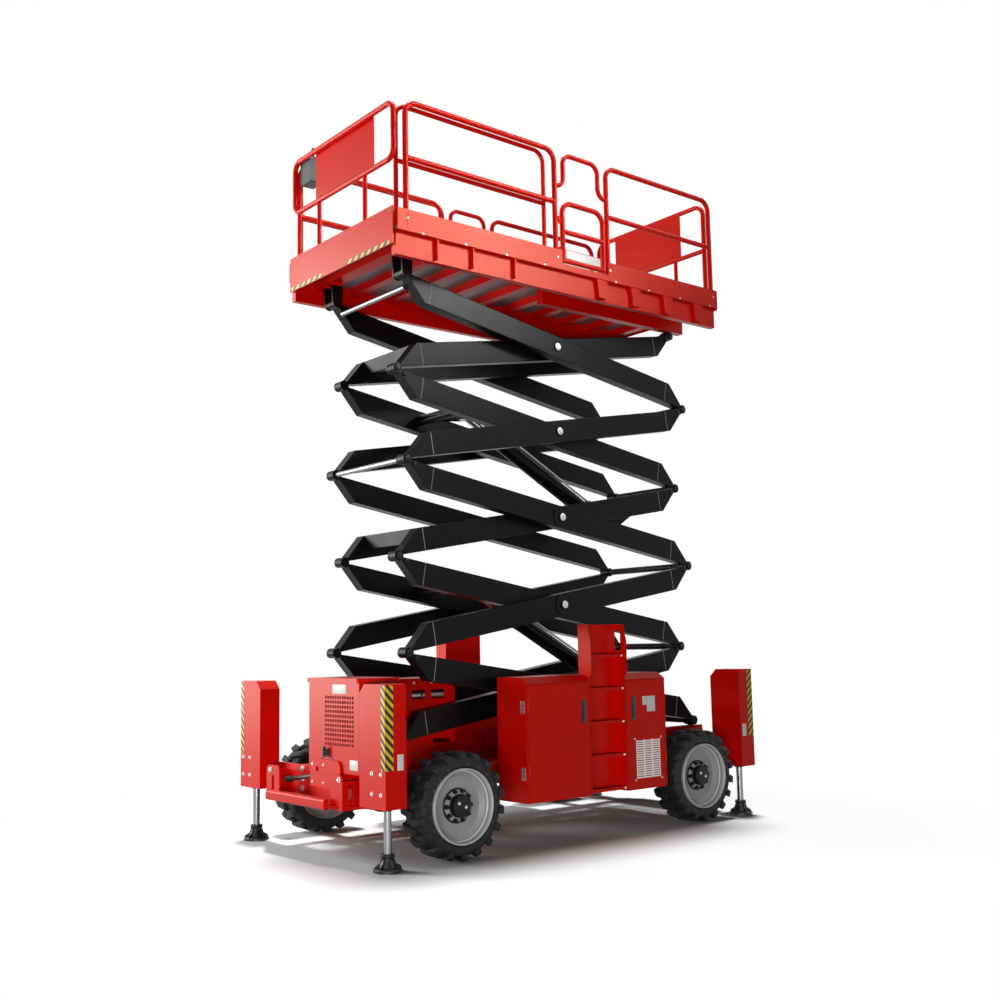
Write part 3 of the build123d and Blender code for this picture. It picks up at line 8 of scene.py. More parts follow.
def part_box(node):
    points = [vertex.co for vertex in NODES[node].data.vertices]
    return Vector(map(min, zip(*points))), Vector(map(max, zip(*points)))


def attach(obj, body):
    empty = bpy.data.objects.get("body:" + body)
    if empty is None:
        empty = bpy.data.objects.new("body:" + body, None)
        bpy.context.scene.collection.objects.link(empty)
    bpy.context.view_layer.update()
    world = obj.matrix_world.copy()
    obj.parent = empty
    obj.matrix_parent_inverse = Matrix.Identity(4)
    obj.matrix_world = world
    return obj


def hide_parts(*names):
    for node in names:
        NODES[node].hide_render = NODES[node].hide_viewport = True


# Looks of a rough-terrain scissor lift, standing half raised on a pale studio floor.
# Metres. +X is the front, +Y the machine's left, +Z up.
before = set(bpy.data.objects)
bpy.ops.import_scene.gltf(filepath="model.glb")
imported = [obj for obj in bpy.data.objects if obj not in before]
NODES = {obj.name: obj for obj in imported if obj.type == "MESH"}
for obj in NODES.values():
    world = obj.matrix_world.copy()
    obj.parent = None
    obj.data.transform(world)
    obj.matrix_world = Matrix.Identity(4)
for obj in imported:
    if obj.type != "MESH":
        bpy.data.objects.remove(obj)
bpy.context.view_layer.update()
MM = 0.001
SIDES = (1, -1)
ENDS = (1, -1)
SIDE_NAMES = {1: "left", -1: "right"}
FORWARDS = (1, 0, 0)
UPWARDS = (0, 0, 1)

# Camera, as the photograph was taken
CAMERA_AT = (7.0296, 8.5320, 1.6680)
CAMERA_YAW = radians(230.677)
CAMERA_PITCH = radians(7.002)
CAMERA_ROLL = radians(-1.0943)
SENSOR_MM = 36.0
LENS_MM = 42.094
VIEW_DEPTH = 200.0

# Scissor stack, the same sizes as the arms; an arm pair is named by its front and rear pins' levels
PIN_FRONT_X = 1.530
PIN_LENGTH = 3.5166
STAGE_RISE = 0.8016
CHASSIS_PIN_Z = 0.880
FIRST_PIN_Z = 1.6096
LEVELS = [CHASSIS_PIN_Z] + [FIRST_PIN_Z + STAGE_RISE * step for step in range(5)]
ARM_SPAN = (PIN_LENGTH ** 2 - STAGE_RISE ** 2) ** 0.5
PIN_REAR_X = PIN_FRONT_X - ARM_SPAN
PIN_MIDDLE_X = PIN_FRONT_X - ARM_SPAN / 2
ARM_EDGE = 0.100
ARM_PITCH = 0.210
ARM_CHAMFER = 0.235
INNER_FACE_Y = 0.481
OUTER_FACE_Y = 0.617
DOUBLER_T = 0.008
PIN_HEAD_T = 0.012
INNER_ARMS = [(0, 1), (2, 1), (2, 3), (4, 3), (4, 5)]
OUTER_ARMS = [(1, 0), (1, 2), (3, 2), (3, 4), (5, 4)]
FORKED_INNER = (2, 4)
FORKED_OUTER = (1, 3, 5)
DOUBLED_STAGES = (2, 3)

# Dressing of the arms: rolled edges, seams, pin ends with a smaller keeper beside each, middle pin heads
EDGE_INSET = 3 * MM
EDGE_R = 4.5 * MM
EDGE_TIP = 0.055
SLANT_TIP = 0.050
SLANT_SHARE = 0.62
SEAM_IN = 0.275
SEAM_R = 3.5 * MM
PIN_END_R = 0.030
KEEPER_R = 0.022
KEEPER_BACK = 0.078
KEEPER_RISE = 0.030
CENTRE_HEAD_T = 0.007
CENTRE_HEAD_FOOT_R = 0.019
CENTRE_HEAD_TOP_R = 0.018

# Lift cylinders: the eyes from the rear pin of their level, and the pipes along the barrel
BARREL_FOOT_X = PIN_REAR_X + 0.544
BARREL_FOOT_DROP = 0.389
ROD_EYE_X = PIN_REAR_X + 2.344
ROD_EYE_RISE = 0.587
GLANDS = ((1.600, 1.668), (0.222, 0.262))
CLAMPS = (0.55, 0.95, 1.35)
PIPE_RUN = (0.34, 1.56)
PIPE_Y = 0.030
PIPE_R = 0.010
PIPE_OVER = 0.088
PIPE_NUT_OVER = (0.066, 0.106)
PIPE_NUT_FOOT_R = 0.017
PIPE_NUT_TOP_R = 0.015

# Wheels
AXLE_X = 1.400
WHEEL_Y = 1.010
WHEEL_R = 0.420
LUG_COUNT = 18
LUG_WIDTH = 0.060
LUG_LEAN = 0.22
LUG_STAGGER = 0.25
LUG_ROUND = 7 * MM
NUT_COUNT = 10
NUT_CIRCLE_R = 0.115
NUT_SEAT = 0.052
NUT_HEIGHT = 0.024
NUT_FOOT_R = 0.021
NUT_TOP_R = 0.019
STUD_LENGTH = 0.040
STUD_R = 0.012
PLUG_SEAT = 0.127
HOLE_COUNT = 20
HOLE_CIRCLE_R = 0.322
HOLE_SEAT = 0.1345
CORNERS = {"front_left": (AXLE_X, 1), "front_right": (AXLE_X, -1),
           "rear_left": (-AXLE_X, 1), "rear_right": (-AXLE_X, -1)}

# Chassis
HOUSING_X = 2.130
HOUSING_Y = 1.155
HOUSING_FOOT_Z = 0.460
TAPE_Z = (0.745, 1.372)
TAPE_T = 1.2 * MM
PLATE_T = 1.2 * MM
PLATE_ROUND = 0.4 * MM
JACK_X = 2.035
JACK_Y = 1.036
FOOT_RIBS = 8
RIB_T = 0.012
NOSE_FRONT_X = 2.128
TRAY_PLATE_X = 1.971
CENTRE_PLATE_X = 2.147
EAR_BOLT_Z = 0.648
TANK_BAR_Y = 0.296
TANK_BAR_Z = 1.245
TANK_BAR_R = 0.022
TANK_FACE_Y = 0.320
TANK_FLANGE_Z = 1.352
TANK_BOLTS = 5
TANK_BOLT_X = 0.92
TANK_BOLT_PITCH = 0.18

# Cabinets and ladders
CABINET_Y = 1.100
CABINET_FRONT_X = 0.710
CABINET_REAR_X = -0.955
LATCH_Z = (0.976, 1.178)
VENT_X = (-0.868, -0.565)
VENT_Z = (0.461, 0.796)
VENT_COLUMNS = 3
VENT_ROWS = 17
HINGE_Z = (1.140, 0.601)
HINGE_HALF = 0.052
RUNG_X = (-0.438, -0.030)
RUNGS = 5
RUNG_FOOT_Z = 0.382
RUNG_PITCH = 0.287

# Platform
DECK_Z = LEVELS[5]
DECK_FLOOR_Z = DECK_Z + 0.274
DECK_EDGE_Y = 0.900
RAIL_Y = 0.870
POSTS_X = (1.700, 0.035, -0.630, -2.110)
GATE_GAP_X = (-0.62, 0.05)
GATE_CLEARANCE = 0.045
GATE_RAIL = 0.034
BRACKET_BOX = ((PIN_FRONT_X, 0.0, DECK_Z), (0.115, 0.700, 0.160))
NO_BOX = ((0.0, 0.0, 0.0), (0.0, 0.0, 0.0))

# Bolt heads, as shares of the size that a bolt is given
WASHER_TOP = 0.16
WASHER_R = 0.82
HEAD_TOP = 0.66
HEAD_FOOT_R = 0.56
HEAD_TOP_R = 0.52

# Studio: the light from above, the room's faint light, and where the floor's shadow runs out into white
CEILING_STRENGTH = 3.0
CEILING_SOFTNESS = radians(9)
CEILING_LEAN = radians(7)
ROOM_FILL = 0.03
FLOOR_HALF = 60.0
SHADOW_R = 3.0
WHITE_R = 5.0


# Node and colour helpers
def colour(text):
    """sRGB hex to linear, with alpha."""
    parts = [int(text[k:k + 2], 16) / 255 for k in (1, 3, 5)]
    linear = [c / 12.92 if c <= 0.04045 else ((c + 0.055) / 1.055) ** 2.4 for c in parts]
    return (*linear, 1.0)


def wire(tree, node, inputs):
    """Sets a node's sockets, or links them to the sockets their values come from."""
    for socket, value in inputs.items():
        if isinstance(value, bpy.types.NodeSocket):
            tree.links.new(value, node.inputs[socket])
        else:
            node.inputs[socket].default_value = value


def add_node(tree, kind, settings, inputs):
    """Adds one node: settings are its properties, inputs its socket values or the sockets they come from."""
    made = tree.nodes.new("ShaderNode" + kind)
    for name, value in settings.items():
        setattr(made, name, value)
    wire(tree, made, inputs)
    return made


def new_material(name):
    """An empty material with its output, its shader and its object coordinates."""
    made = bpy.data.materials.new(name)
    made.use_nodes = True
    tree = made.node_tree
    tree.nodes.clear()
    shader = add_node(tree, "BsdfPrincipled", {}, {})
    add_node(tree, "OutputMaterial", {}, {"Surface": shader.outputs["BSDF"]})
    place = add_node(tree, "TexCoord", {}, {}).outputs["Object"]
    return made, tree, shader, place


def grain(size_mm):
    """Noise scale whose cells are about this wide."""
    return 1000.0 / size_mm


# Materials
def red_powder_coat(name, black_box):
    """Baked powder coat on sheet steel: satin red with a faint orange peel, black inside a given box."""
    made, tree, shader, place = new_material(name)
    cloud = add_node(tree, "TexNoise", {}, {"Vector": place, "Scale": grain(600), "Detail": 2.0})
    tone = add_node(tree, "Mix", {"data_type": "RGBA"},
                    {0: cloud.outputs["Fac"], 6: colour("#d20803"), 7: colour("#de0c05")})
    middle, half = black_box
    from_middle = add_node(tree, "VectorMath", {"operation": "SUBTRACT"}, {0: place, 1: middle})
    apart = add_node(tree, "VectorMath", {"operation": "ABSOLUTE"}, {0: from_middle.outputs["Vector"]})
    inside = None
    for axis, reach in zip("XYZ", half):
        place_on_axis = add_node(tree, "SeparateXYZ", {}, {"Vector": apart.outputs["Vector"]}).outputs[axis]
        near = add_node(tree, "Math", {"operation": "LESS_THAN"}, {0: place_on_axis, 1: reach}).outputs[0]
        inside = near if inside is None else \
            add_node(tree, "Math", {"operation": "MULTIPLY"}, {0: inside, 1: near}).outputs[0]
    tone = add_node(tree, "Mix", {"data_type": "RGBA"}, {0: inside, 6: tone.outputs[2], 7: colour("#0a0a0b")})
    gloss = add_node(tree, "MapRange", {}, {"Value": cloud.outputs["Fac"], "To Min": 0.30, "To Max": 0.40})
    peel = add_node(tree, "TexNoise", {}, {"Vector": place, "Scale": grain(10), "Detail": 1.0})
    bump = add_node(tree, "Bump", {}, {"Height": peel.outputs["Fac"], "Strength": 0.06, "Distance": 1 * MM})
    wire(tree, shader, {"Base Color": tone.outputs[2], "Roughness": gloss.outputs["Result"],
                        "Normal": bump.outputs["Normal"], "IOR": 1.5, "Specular IOR Level": 0.22,
                        "Specular Tint": colour("#ffd2a8")})
    return made


def black_satin_paint():
    """Sprayed chassis black on rolled steel: satin, with the plate's slow waviness under it."""
    made, tree, shader, place = new_material("black_satin_paint")
    cloud = add_node(tree, "TexNoise", {}, {"Vector": place, "Scale": grain(300), "Detail": 3.0})
    tone = add_node(tree, "Mix", {"data_type": "RGBA"},
                    {0: cloud.outputs["Fac"], 6: colour("#050506"), 7: colour("#0b0b0c")})
    gloss = add_node(tree, "MapRange", {}, {"Value": cloud.outputs["Fac"], "To Min": 0.26, "To Max": 0.40})
    wave = add_node(tree, "TexNoise", {}, {"Vector": place, "Scale": grain(60), "Detail": 2.0})
    bump = add_node(tree, "Bump", {}, {"Height": wave.outputs["Fac"], "Strength": 0.08, "Distance": 2 * MM})
    wire(tree, shader, {"Base Color": tone.outputs[2], "Roughness": gloss.outputs["Result"],
                        "Normal": bump.outputs["Normal"], "IOR": 1.5, "Specular IOR Level": 0.11})
    return made


def grey_rim_enamel(name, dark, pale):
    """Stove enamel on a pressed rim: pale grey, half gloss, a little dust in it."""
    made, tree, shader, place = new_material(name)
    dust = add_node(tree, "TexNoise", {}, {"Vector": place, "Scale": grain(90), "Detail": 4.0})
    tone = add_node(tree, "Mix", {"data_type": "RGBA"},
                    {0: dust.outputs["Fac"], 6: colour(dark), 7: colour(pale)})
    gloss = add_node(tree, "MapRange", {}, {"Value": dust.outputs["Fac"], "To Min": 0.28, "To Max": 0.46})
    wire(tree, shader, {"Base Color": tone.outputs[2], "Roughness": gloss.outputs["Result"], "IOR": 1.5})
    return made


def solid_tyre_rubber():
    """Moulded solid-tyre rubber: charcoal with a dry bloom and a pebbled skin."""
    made, tree, shader, place = new_material("solid_tyre_rubber")
    bloom = add_node(tree, "TexNoise", {}, {"Vector": place, "Scale": grain(70), "Detail": 5.0})
    tone = add_node(tree, "Mix", {"data_type": "RGBA"},
                    {0: bloom.outputs["Fac"], 6: colour("#111213"), 7: colour("#1e1f20")})
    pebble = add_node(tree, "TexNoise", {}, {"Vector": place, "Scale": grain(5), "Detail": 2.0})
    bump = add_node(tree, "Bump", {}, {"Height": pebble.outputs["Fac"], "Strength": 0.25, "Distance": 1 * MM})
    wire(tree, shader, {"Base Color": tone.outputs[2], "Roughness": 0.68,
                        "Normal": bump.outputs["Normal"], "Specular IOR Level": 0.3})
    return made


def hard_chrome():
    """Ground hard chrome on a hydraulic rod: bright, its gloss a little uneven from the grinding."""
    made, tree, shader, place = new_material("hard_chrome")
    cloud = add_node(tree, "TexNoise", {}, {"Vector": place, "Scale": grain(14), "Detail": 2.0})
    gloss = add_node(tree, "MapRange", {}, {"Value": cloud.outputs["Fac"], "To Min": 0.12, "To Max": 0.24})
    wire(tree, shader, {"Base Color": colour("#d4d5d7"), "Metallic": 1.0,
                        "Roughness": gloss.outputs["Result"]})
    return made


def zinc_plated_steel():
    """Zinc-plated fasteners and bars: pale grey metal, softly clouded."""
    made, tree, shader, place = new_material("zinc_plated_steel")
    cloud = add_node(tree, "TexNoise", {}, {"Vector": place, "Scale": grain(12), "Detail": 3.0})
    tone = add_node(tree, "Mix", {"data_type": "RGBA"},
                    {0: cloud.outputs["Fac"], 6: colour("#b3b3b1"), 7: colour("#d2d2cf")})
    gloss = add_node(tree, "MapRange", {}, {"Value": cloud.outputs["Fac"], "To Min": 0.28, "To Max": 0.45})
    wire(tree, shader, {"Base Color": tone.outputs[2], "Metallic": 0.85,
                        "Roughness": gloss.outputs["Result"]})
    return made


def painted_iron():
    """Black-painted iron castings: axle tubes, hubs and feet, with the sand mould's texture."""
    made, tree, shader, place = new_material("painted_iron")
    sand = add_node(tree, "TexNoise", {}, {"Vector": place, "Scale": grain(7), "Detail": 3.0})
    tone = add_node(tree, "Mix", {"data_type": "RGBA"},
                    {0: sand.outputs["Fac"], 6: colour("#0d0d0e"), 7: colour("#1d1d1e")})
    bump = add_node(tree, "Bump", {}, {"Height": sand.outputs["Fac"], "Strength": 0.3, "Distance": 1 * MM})
    wire(tree, shader, {"Base Color": tone.outputs[2], "Roughness": 0.42, "Normal": bump.outputs["Normal"],
                        "Specular IOR Level": 0.2})
    return made


def drawn_steel_bar():
    """Cold-drawn bar left bare and oiled: mid-grey metal, faintly clouded."""
    made, tree, shader, place = new_material("drawn_steel_bar")
    cloud = add_node(tree, "TexNoise", {}, {"Vector": place, "Scale": grain(50), "Detail": 3.0})
    tone = add_node(tree, "Mix", {"data_type": "RGBA"},
                    {0: cloud.outputs["Fac"], 6: colour("#6e6e70"), 7: colour("#88888a")})
    wire(tree, shader, {"Base Color": tone.outputs[2], "Metallic": 0.9, "Roughness": 0.34})
    return made


def chequer_plate():
    """Rolled tread plate: grey aluminium with short raised bars set in two directions."""
    made, tree, shader, place = new_material("chequer_plate")
    bar_pitch_mm = 32.0
    height = None
    for turn in (radians(45), radians(-45)):
        turned = add_node(tree, "Mapping", {}, {"Vector": place, "Rotation": (0, 0, turn)})
        bars = add_node(tree, "TexVoronoi", {"feature": "DISTANCE_TO_EDGE"},
                        {"Vector": turned.outputs["Vector"], "Scale": grain(bar_pitch_mm), "Randomness": 0.0})
        distance = bars.outputs["Distance"]
        height = distance if height is None else \
            add_node(tree, "Math", {"operation": "MULTIPLY"}, {0: height, 1: distance}).outputs[0]
    raised = add_node(tree, "MapRange", {}, {"Value": height, "From Min": 0.06, "From Max": 0.12})
    tone = add_node(tree, "Mix", {"data_type": "RGBA"},
                    {0: raised.outputs["Result"], 6: colour("#7f8081"), 7: colour("#a9aaab")})
    bump = add_node(tree, "Bump", {},
                    {"Height": raised.outputs["Result"], "Strength": 0.6, "Distance": 2 * MM})
    wire(tree, shader, {"Base Color": tone.outputs[2], "Metallic": 0.6, "Roughness": 0.45,
                        "Normal": bump.outputs["Normal"]})
    return made


def jack_leg_finish():
    """Chromed jack rod above a black painted foot; the two meet at the foot's collar."""
    made, tree, shader, place = new_material("jack_leg_finish")
    collar_z = 0.125
    height = add_node(tree, "SeparateXYZ", {}, {"Vector": place}).outputs["Z"]
    rod = add_node(tree, "Math", {"operation": "GREATER_THAN"}, {0: height, 1: collar_z + 1 * MM}).outputs[0]
    cloud = add_node(tree, "TexNoise", {}, {"Vector": place, "Scale": grain(14), "Detail": 2.0})
    black = add_node(tree, "Mix", {"data_type": "RGBA"},
                     {0: cloud.outputs["Fac"], 6: colour("#0e0e0f"), 7: colour("#1e1e1f")})
    tone = add_node(tree, "Mix", {"data_type": "RGBA"}, {0: rod, 6: black.outputs[2], 7: colour("#858688")})
    gloss = add_node(tree, "MapRange", {}, {"Value": rod, "To Min": 0.42, "To Max": 0.22})
    wire(tree, shader, {"Base Color": tone.outputs[2], "Metallic": rod, "Roughness": gloss.outputs["Result"]})
    return made


def hazard_tape(name, pair_mm, slope):
    """Retro-reflective tape: slanting yellow and black bars, a little worn; slope gives the bars' lean."""
    made, tree, shader, place = new_material(name)
    step = 1.0 / (pair_mm * MM)
    across = [lean * step for lean in slope]
    run = add_node(tree, "VectorMath", {"operation": "DOT_PRODUCT"}, {0: place, 1: across})
    part = add_node(tree, "Math", {"operation": "FRACT"}, {0: run.outputs["Value"]})
    bar = add_node(tree, "Math", {"operation": "GREATER_THAN"}, {0: part.outputs[0], 1: 0.5})
    wear = add_node(tree, "TexNoise", {}, {"Vector": place, "Scale": grain(40), "Detail": 4.0})
    yellow = add_node(tree, "Mix", {"data_type": "RGBA"},
                      {0: wear.outputs["Fac"], 6: colour("#e2b40c"), 7: colour("#f2cd2a")})
    tone = add_node(tree, "Mix", {"data_type": "RGBA"},
                    {0: bar.outputs[0], 6: colour("#131312"), 7: yellow.outputs[2]})
    wire(tree, shader, {"Base Color": tone.outputs[2], "Roughness": 0.38, "Specular IOR Level": 0.3})
    return made


def ground_weld():
    """Weld bead along a painted seam, rubbed back to dull steel on its crest."""
    made, tree, shader, place = new_material("ground_weld")
    ripple = add_node(tree, "TexNoise", {}, {"Vector": place, "Scale": grain(6), "Detail": 3.0})
    tone = add_node(tree, "Mix", {"data_type": "RGBA"},
                    {0: ripple.outputs["Fac"], 6: colour("#4c4d4f"), 7: colour("#8a8b8c")})
    bump = add_node(tree, "Bump", {}, {"Height": ripple.outputs["Fac"], "Strength": 0.4, "Distance": 1 * MM})
    wire(tree, shader, {"Base Color": tone.outputs[2], "Metallic": 0.4, "Roughness": 0.45,
                        "Normal": bump.outputs["Normal"]})
    return made


def blank_plate_vinyl():
    """Plain white vinyl plates, slightly yellowed in places."""
    made, tree, shader, place = new_material("blank_plate_vinyl")
    cloud = add_node(tree, "TexNoise", {}, {"Vector": place, "Scale": grain(35), "Detail": 2.0})
    tone = add_node(tree, "Mix", {"data_type": "RGBA"},
                    {0: cloud.outputs["Fac"], 6: colour("#dcdbd6"), 7: colour("#eeeeeb")})
    wire(tree, shader, {"Base Color": tone.outputs[2], "Roughness": 0.36})
    return made


def black_moulded_nylon():
    """Glass-filled nylon: latches, grips and caps, dull black with a fine spark texture."""
    made, tree, shader, place = new_material("black_moulded_nylon")
    spark = add_node(tree, "TexNoise", {}, {"Vector": place, "Scale": grain(3), "Detail": 2.0})
    tone = add_node(tree, "Mix", {"data_type": "RGBA"},
                    {0: spark.outputs["Fac"], 6: colour("#101011"), 7: colour("#222223")})
    bump = add_node(tree, "Bump", {}, {"Height": spark.outputs["Fac"], "Strength": 0.2, "Distance": 0.5 * MM})
    wire(tree, shader, {"Base Color": tone.outputs[2], "Roughness": 0.5, "Normal": bump.outputs["Normal"]})
    return made


def grey_control_plastic():
    """Moulded ABS of the control box: mid grey, lightly textured."""
    made, tree, shader, place = new_material("grey_control_plastic")
    spark = add_node(tree, "TexNoise", {}, {"Vector": place, "Scale": grain(4), "Detail": 2.0})
    tone = add_node(tree, "Mix", {"data_type": "RGBA"},
                    {0: spark.outputs["Fac"], 6: colour("#3a3b3d"), 7: colour("#4b4c4e")})
    wire(tree, shader, {"Base Color": tone.outputs[2], "Roughness": 0.52})
    return made


def brushed_vent_steel():
    """Bright perforated vent sheet: brushed along its length."""
    made, tree, shader, place = new_material("brushed_vent_steel")
    long_brush = add_node(tree, "Mapping", {}, {"Vector": place, "Scale": (1.0, 1.0, 12.0)})
    brush = add_node(tree, "TexNoise", {},
                     {"Vector": long_brush.outputs["Vector"], "Scale": grain(30), "Detail": 4.0})
    tone = add_node(tree, "Mix", {"data_type": "RGBA"},
                    {0: brush.outputs["Fac"], 6: colour("#b5b5b4"), 7: colour("#d6d6d5")})
    wire(tree, shader, {"Base Color": tone.outputs[2], "Metallic": 0.7, "Roughness": 0.36})
    return made


def hole_shade_rubber():
    """Painted shade of the side walls' holes: dull, nearly black rubber on shallow discs that stand in for
    the holes' shaded insides.
    """
    made, tree, shader, place = new_material("hole_shade_rubber")
    cloud = add_node(tree, "TexNoise", {}, {"Vector": place, "Scale": grain(6), "Detail": 2.0})
    tone = add_node(tree, "Mix", {"data_type": "RGBA"},
                    {0: cloud.outputs["Fac"], 6: colour("#0c0c0d"), 7: colour("#1c1c1d")})
    wire(tree, shader, {"Base Color": tone.outputs[2], "Roughness": 0.58})
    return made


RED = red_powder_coat("red_powder_coat", NO_BOX)
DECK_RED = red_powder_coat("red_powder_coat_deck", BRACKET_BOX)
BLACK = black_satin_paint()
RIM_GREY = grey_rim_enamel("grey_rim_enamel", "#8f8f8e", "#a8a8a6")
# Pale enamel of the rim's lip and bead: a painted highlight
RIM_HIGHLIGHT = grey_rim_enamel("rim_highlight_enamel", "#c4c4c2", "#d8d8d6")
RUBBER = solid_tyre_rubber()
CHROME = hard_chrome()
ZINC = zinc_plated_steel()
IRON = painted_iron()
BAR_STEEL = drawn_steel_bar()
TREAD_PLATE = chequer_plate()
JACK_LEG = jack_leg_finish()
TAPE_FRONT = hazard_tape("hazard_tape_front", 66.0, (-1, 1, 1))
TAPE_REAR = hazard_tape("hazard_tape_rear", 66.0, (1, 1, 1))
TAPE_DECK = hazard_tape("hazard_tape_deck", 100.0, (0, -1, 1))
WELD = ground_weld()
WHITE = blank_plate_vinyl()
NYLON = black_moulded_nylon()
CONTROL = grey_control_plastic()
VENT = brushed_vent_steel()
# Near-black rubber of the side walls' holes is painted shade
HOLE_SHADE_RUBBER = hole_shade_rubber()

# Finish of each solid, by how its name starts; the last line takes all the rest
FINISHES = [
    ("tyre_", RUBBER), ("rim_", RIM_GREY), ("inner_arms_", BLACK), ("outer_arms_", BLACK),
    ("cylinder_barrel_", BLACK), ("cylinder_rod_", CHROME), ("jack_leg_", JACK_LEG),
    ("tie_bar_", BAR_STEEL), ("platform_frame", DECK_RED), ("platform_floor", TREAD_PLATE),
    ("extension_floor", TREAD_PLATE), ("knuckle_", IRON), ("front_axle", IRON), ("rear_axle", IRON),
    ("engine_block", IRON), ("control_box", CONTROL),
    ("", RED)]


def finish_solids():
    """Gives every solid of the frame its finish."""
    for name, solid in NODES.items():
        finish = next(made for start, made in FINISHES if name.startswith(start))
        solid.data.materials.clear()
        solid.data.materials.append(finish)


# Shapes
def stand_at(at, way, axis="Z"):
    """A matrix that moves a shape to a point and turns its axis to run along a way."""
    return Matrix.Translation(Vector(at)) @ Vector(way).to_track_quat(axis, "Y").to_matrix().to_4x4()


def round_edges(bm, verts, width):
    """Rounds every edge that meets these vertices."""
    edges = list({edge for vert in verts for edge in vert.link_edges})
    bmesh.ops.bevel(bm, geom=edges, offset=width, offset_type="OFFSET", affect="EDGES",
                    segments=2, profile=0.5, material=-1)


def add_block(bm, low, high, bevel=0.0):
    """A box between two corners, its edges rounded if a bevel is given."""
    low, high = Vector(low), Vector(high)
    made = bmesh.ops.create_cube(bm, size=1.0)["verts"]
    bmesh.ops.scale(bm, vec=high - low, verts=made)
    bmesh.ops.translate(bm, vec=(low + high) / 2, verts=made)
    if bevel:
        round_edges(bm, made, bevel)


def add_rod(bm, start, end, radius, end_radius=None, segments=24):
    """A straight round bar or cone between two points."""
    start, end = Vector(start), Vector(end)
    way = end - start
    far_radius = radius if end_radius is None else end_radius
    bmesh.ops.create_cone(bm, cap_ends=True, cap_tris=False, segments=segments, radius1=radius,
                          radius2=far_radius, depth=way.length, matrix=stand_at((start + end) / 2, way))


def add_bolt(bm, at, out, size):
    """A hexagon head on its washer, standing on a face."""
    at = Vector(at)
    rise = Vector(out).normalized() * size
    washer_top = at + rise * WASHER_TOP
    add_rod(bm, at, washer_top, size * WASHER_R, segments=18)
    add_rod(bm, washer_top, at + rise * HEAD_TOP, size * HEAD_FOOT_R, size * HEAD_TOP_R, segments=6)


def add_turned(bm, profile, at, out, steps=48):
    """A turned shape: radii and heights about an axis that starts at a point and runs outwards."""
    verts = [bm.verts.new((radius, 0, height)) for radius, height in profile]
    edges = [bm.edges.new(pair) for pair in zip(verts, verts[1:])]
    bmesh.ops.spin(bm, geom=verts + edges, cent=(0, 0, 0), axis=UPWARDS, dvec=(0, 0, 0),
                   angle=2 * pi, steps=steps, use_merge=True, use_duplicate=False)
    turned = {vert for vert in verts if vert.is_valid}
    grown = list(turned)
    while grown:
        vert = grown.pop()
        for edge in vert.link_edges:
            other = edge.other_vert(vert)
            if other not in turned:
                turned.add(other)
                grown.append(other)
    bmesh.ops.transform(bm, matrix=stand_at(at, out), verts=list(turned))


def outline_block(bm, points, depth, to_place, bevel):
    """A flat outline pushed out to a depth, placed by a matrix, its edges rounded."""
    face = bm.faces.new([bm.verts.new((x, y, 0)) for x, y in points])
    pushed = bmesh.ops.extrude_face_region(bm, geom=[face])["geom"]
    top = [item for item in pushed if isinstance(item, bmesh.types.BMVert)]
    bmesh.ops.translate(bm, vec=(0, 0, depth), verts=top)
    made = top + list(face.verts)
    bmesh.ops.transform(bm, matrix=to_place, verts=made)
    round_edges(bm, made, bevel)


def link(made):
    """Puts an object into the scene."""
    bpy.context.scene.collection.objects.link(made)


def make_piece(name, bm, finish, body, sharp=radians(35)):
    """Turns a finished bmesh into a piece that rides on a body."""
    bmesh.ops.remove_doubles(bm, verts=bm.verts, dist=0.01 * MM)
    bmesh.ops.recalc_face_normals(bm, faces=bm.faces)
    mesh = bpy.data.meshes.new(name)
    bm.to_mesh(mesh)
    bm.free()
    mesh.polygons.foreach_set("use_smooth", [True] * len(mesh.polygons))
    mesh.set_sharp_from_angle(angle=sharp)
    mesh.materials.append(finish)
    made = bpy.data.objects.new(name, mesh)
    link(made)
    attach(made, body)
    return made


# Wheels
def wheel_point(centre, out, turn, reach, stand):
    """A point beside a wheel: turned round its axle, a reach away from it, and standing outwards."""
    return Vector(centre) + Vector((cos(turn), 0, sin(turn))) * reach + out * stand


def tyre_tread(corner, centre, out):
    """Solid tyre in place of the many-sided one: turned carcass, two staggered rows of leaning lugs."""
    carcass = [(0.293, -0.118), (0.300, -0.126), (0.330, -0.136), (0.362, -0.132), (0.381, -0.112),
               (0.388, -0.060), (0.388, 0.060), (0.381, 0.112), (0.362, 0.132), (0.330, 0.136),
               (0.300, 0.126), (0.293, 0.118), (0.293, -0.118)]
    lug = [(-0.012, 0.372), (-0.012, 0.411), (0.000, 0.417), (0.118, 0.417), (0.146, 0.402),
           (0.148, 0.356), (0.134, 0.352), (0.118, 0.372)]
    bm = bmesh.new()
    add_turned(bm, carcass, centre, out, steps=96)
    for row in SIDES:
        for number in range(LUG_COUNT):
            turn = 2 * pi * (number + row * LUG_STAGGER) / LUG_COUNT
            outward = Vector((cos(turn), 0, sin(turn)))
            along = Vector((-sin(turn), 0, cos(turn)))
            across = Vector((0, row, 0)) + along * LUG_LEAN
            place = Matrix((across, outward, along)).transposed().to_4x4()
            place.translation = Vector(centre) - along * LUG_WIDTH / 2
            outline_block(bm, lug, LUG_WIDTH, place, LUG_ROUND)
    tread = make_piece("tyre_tread_" + corner, bm, RUBBER, "wheel_" + corner,
                       sharp=radians(30))
    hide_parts("tyre_" + corner)


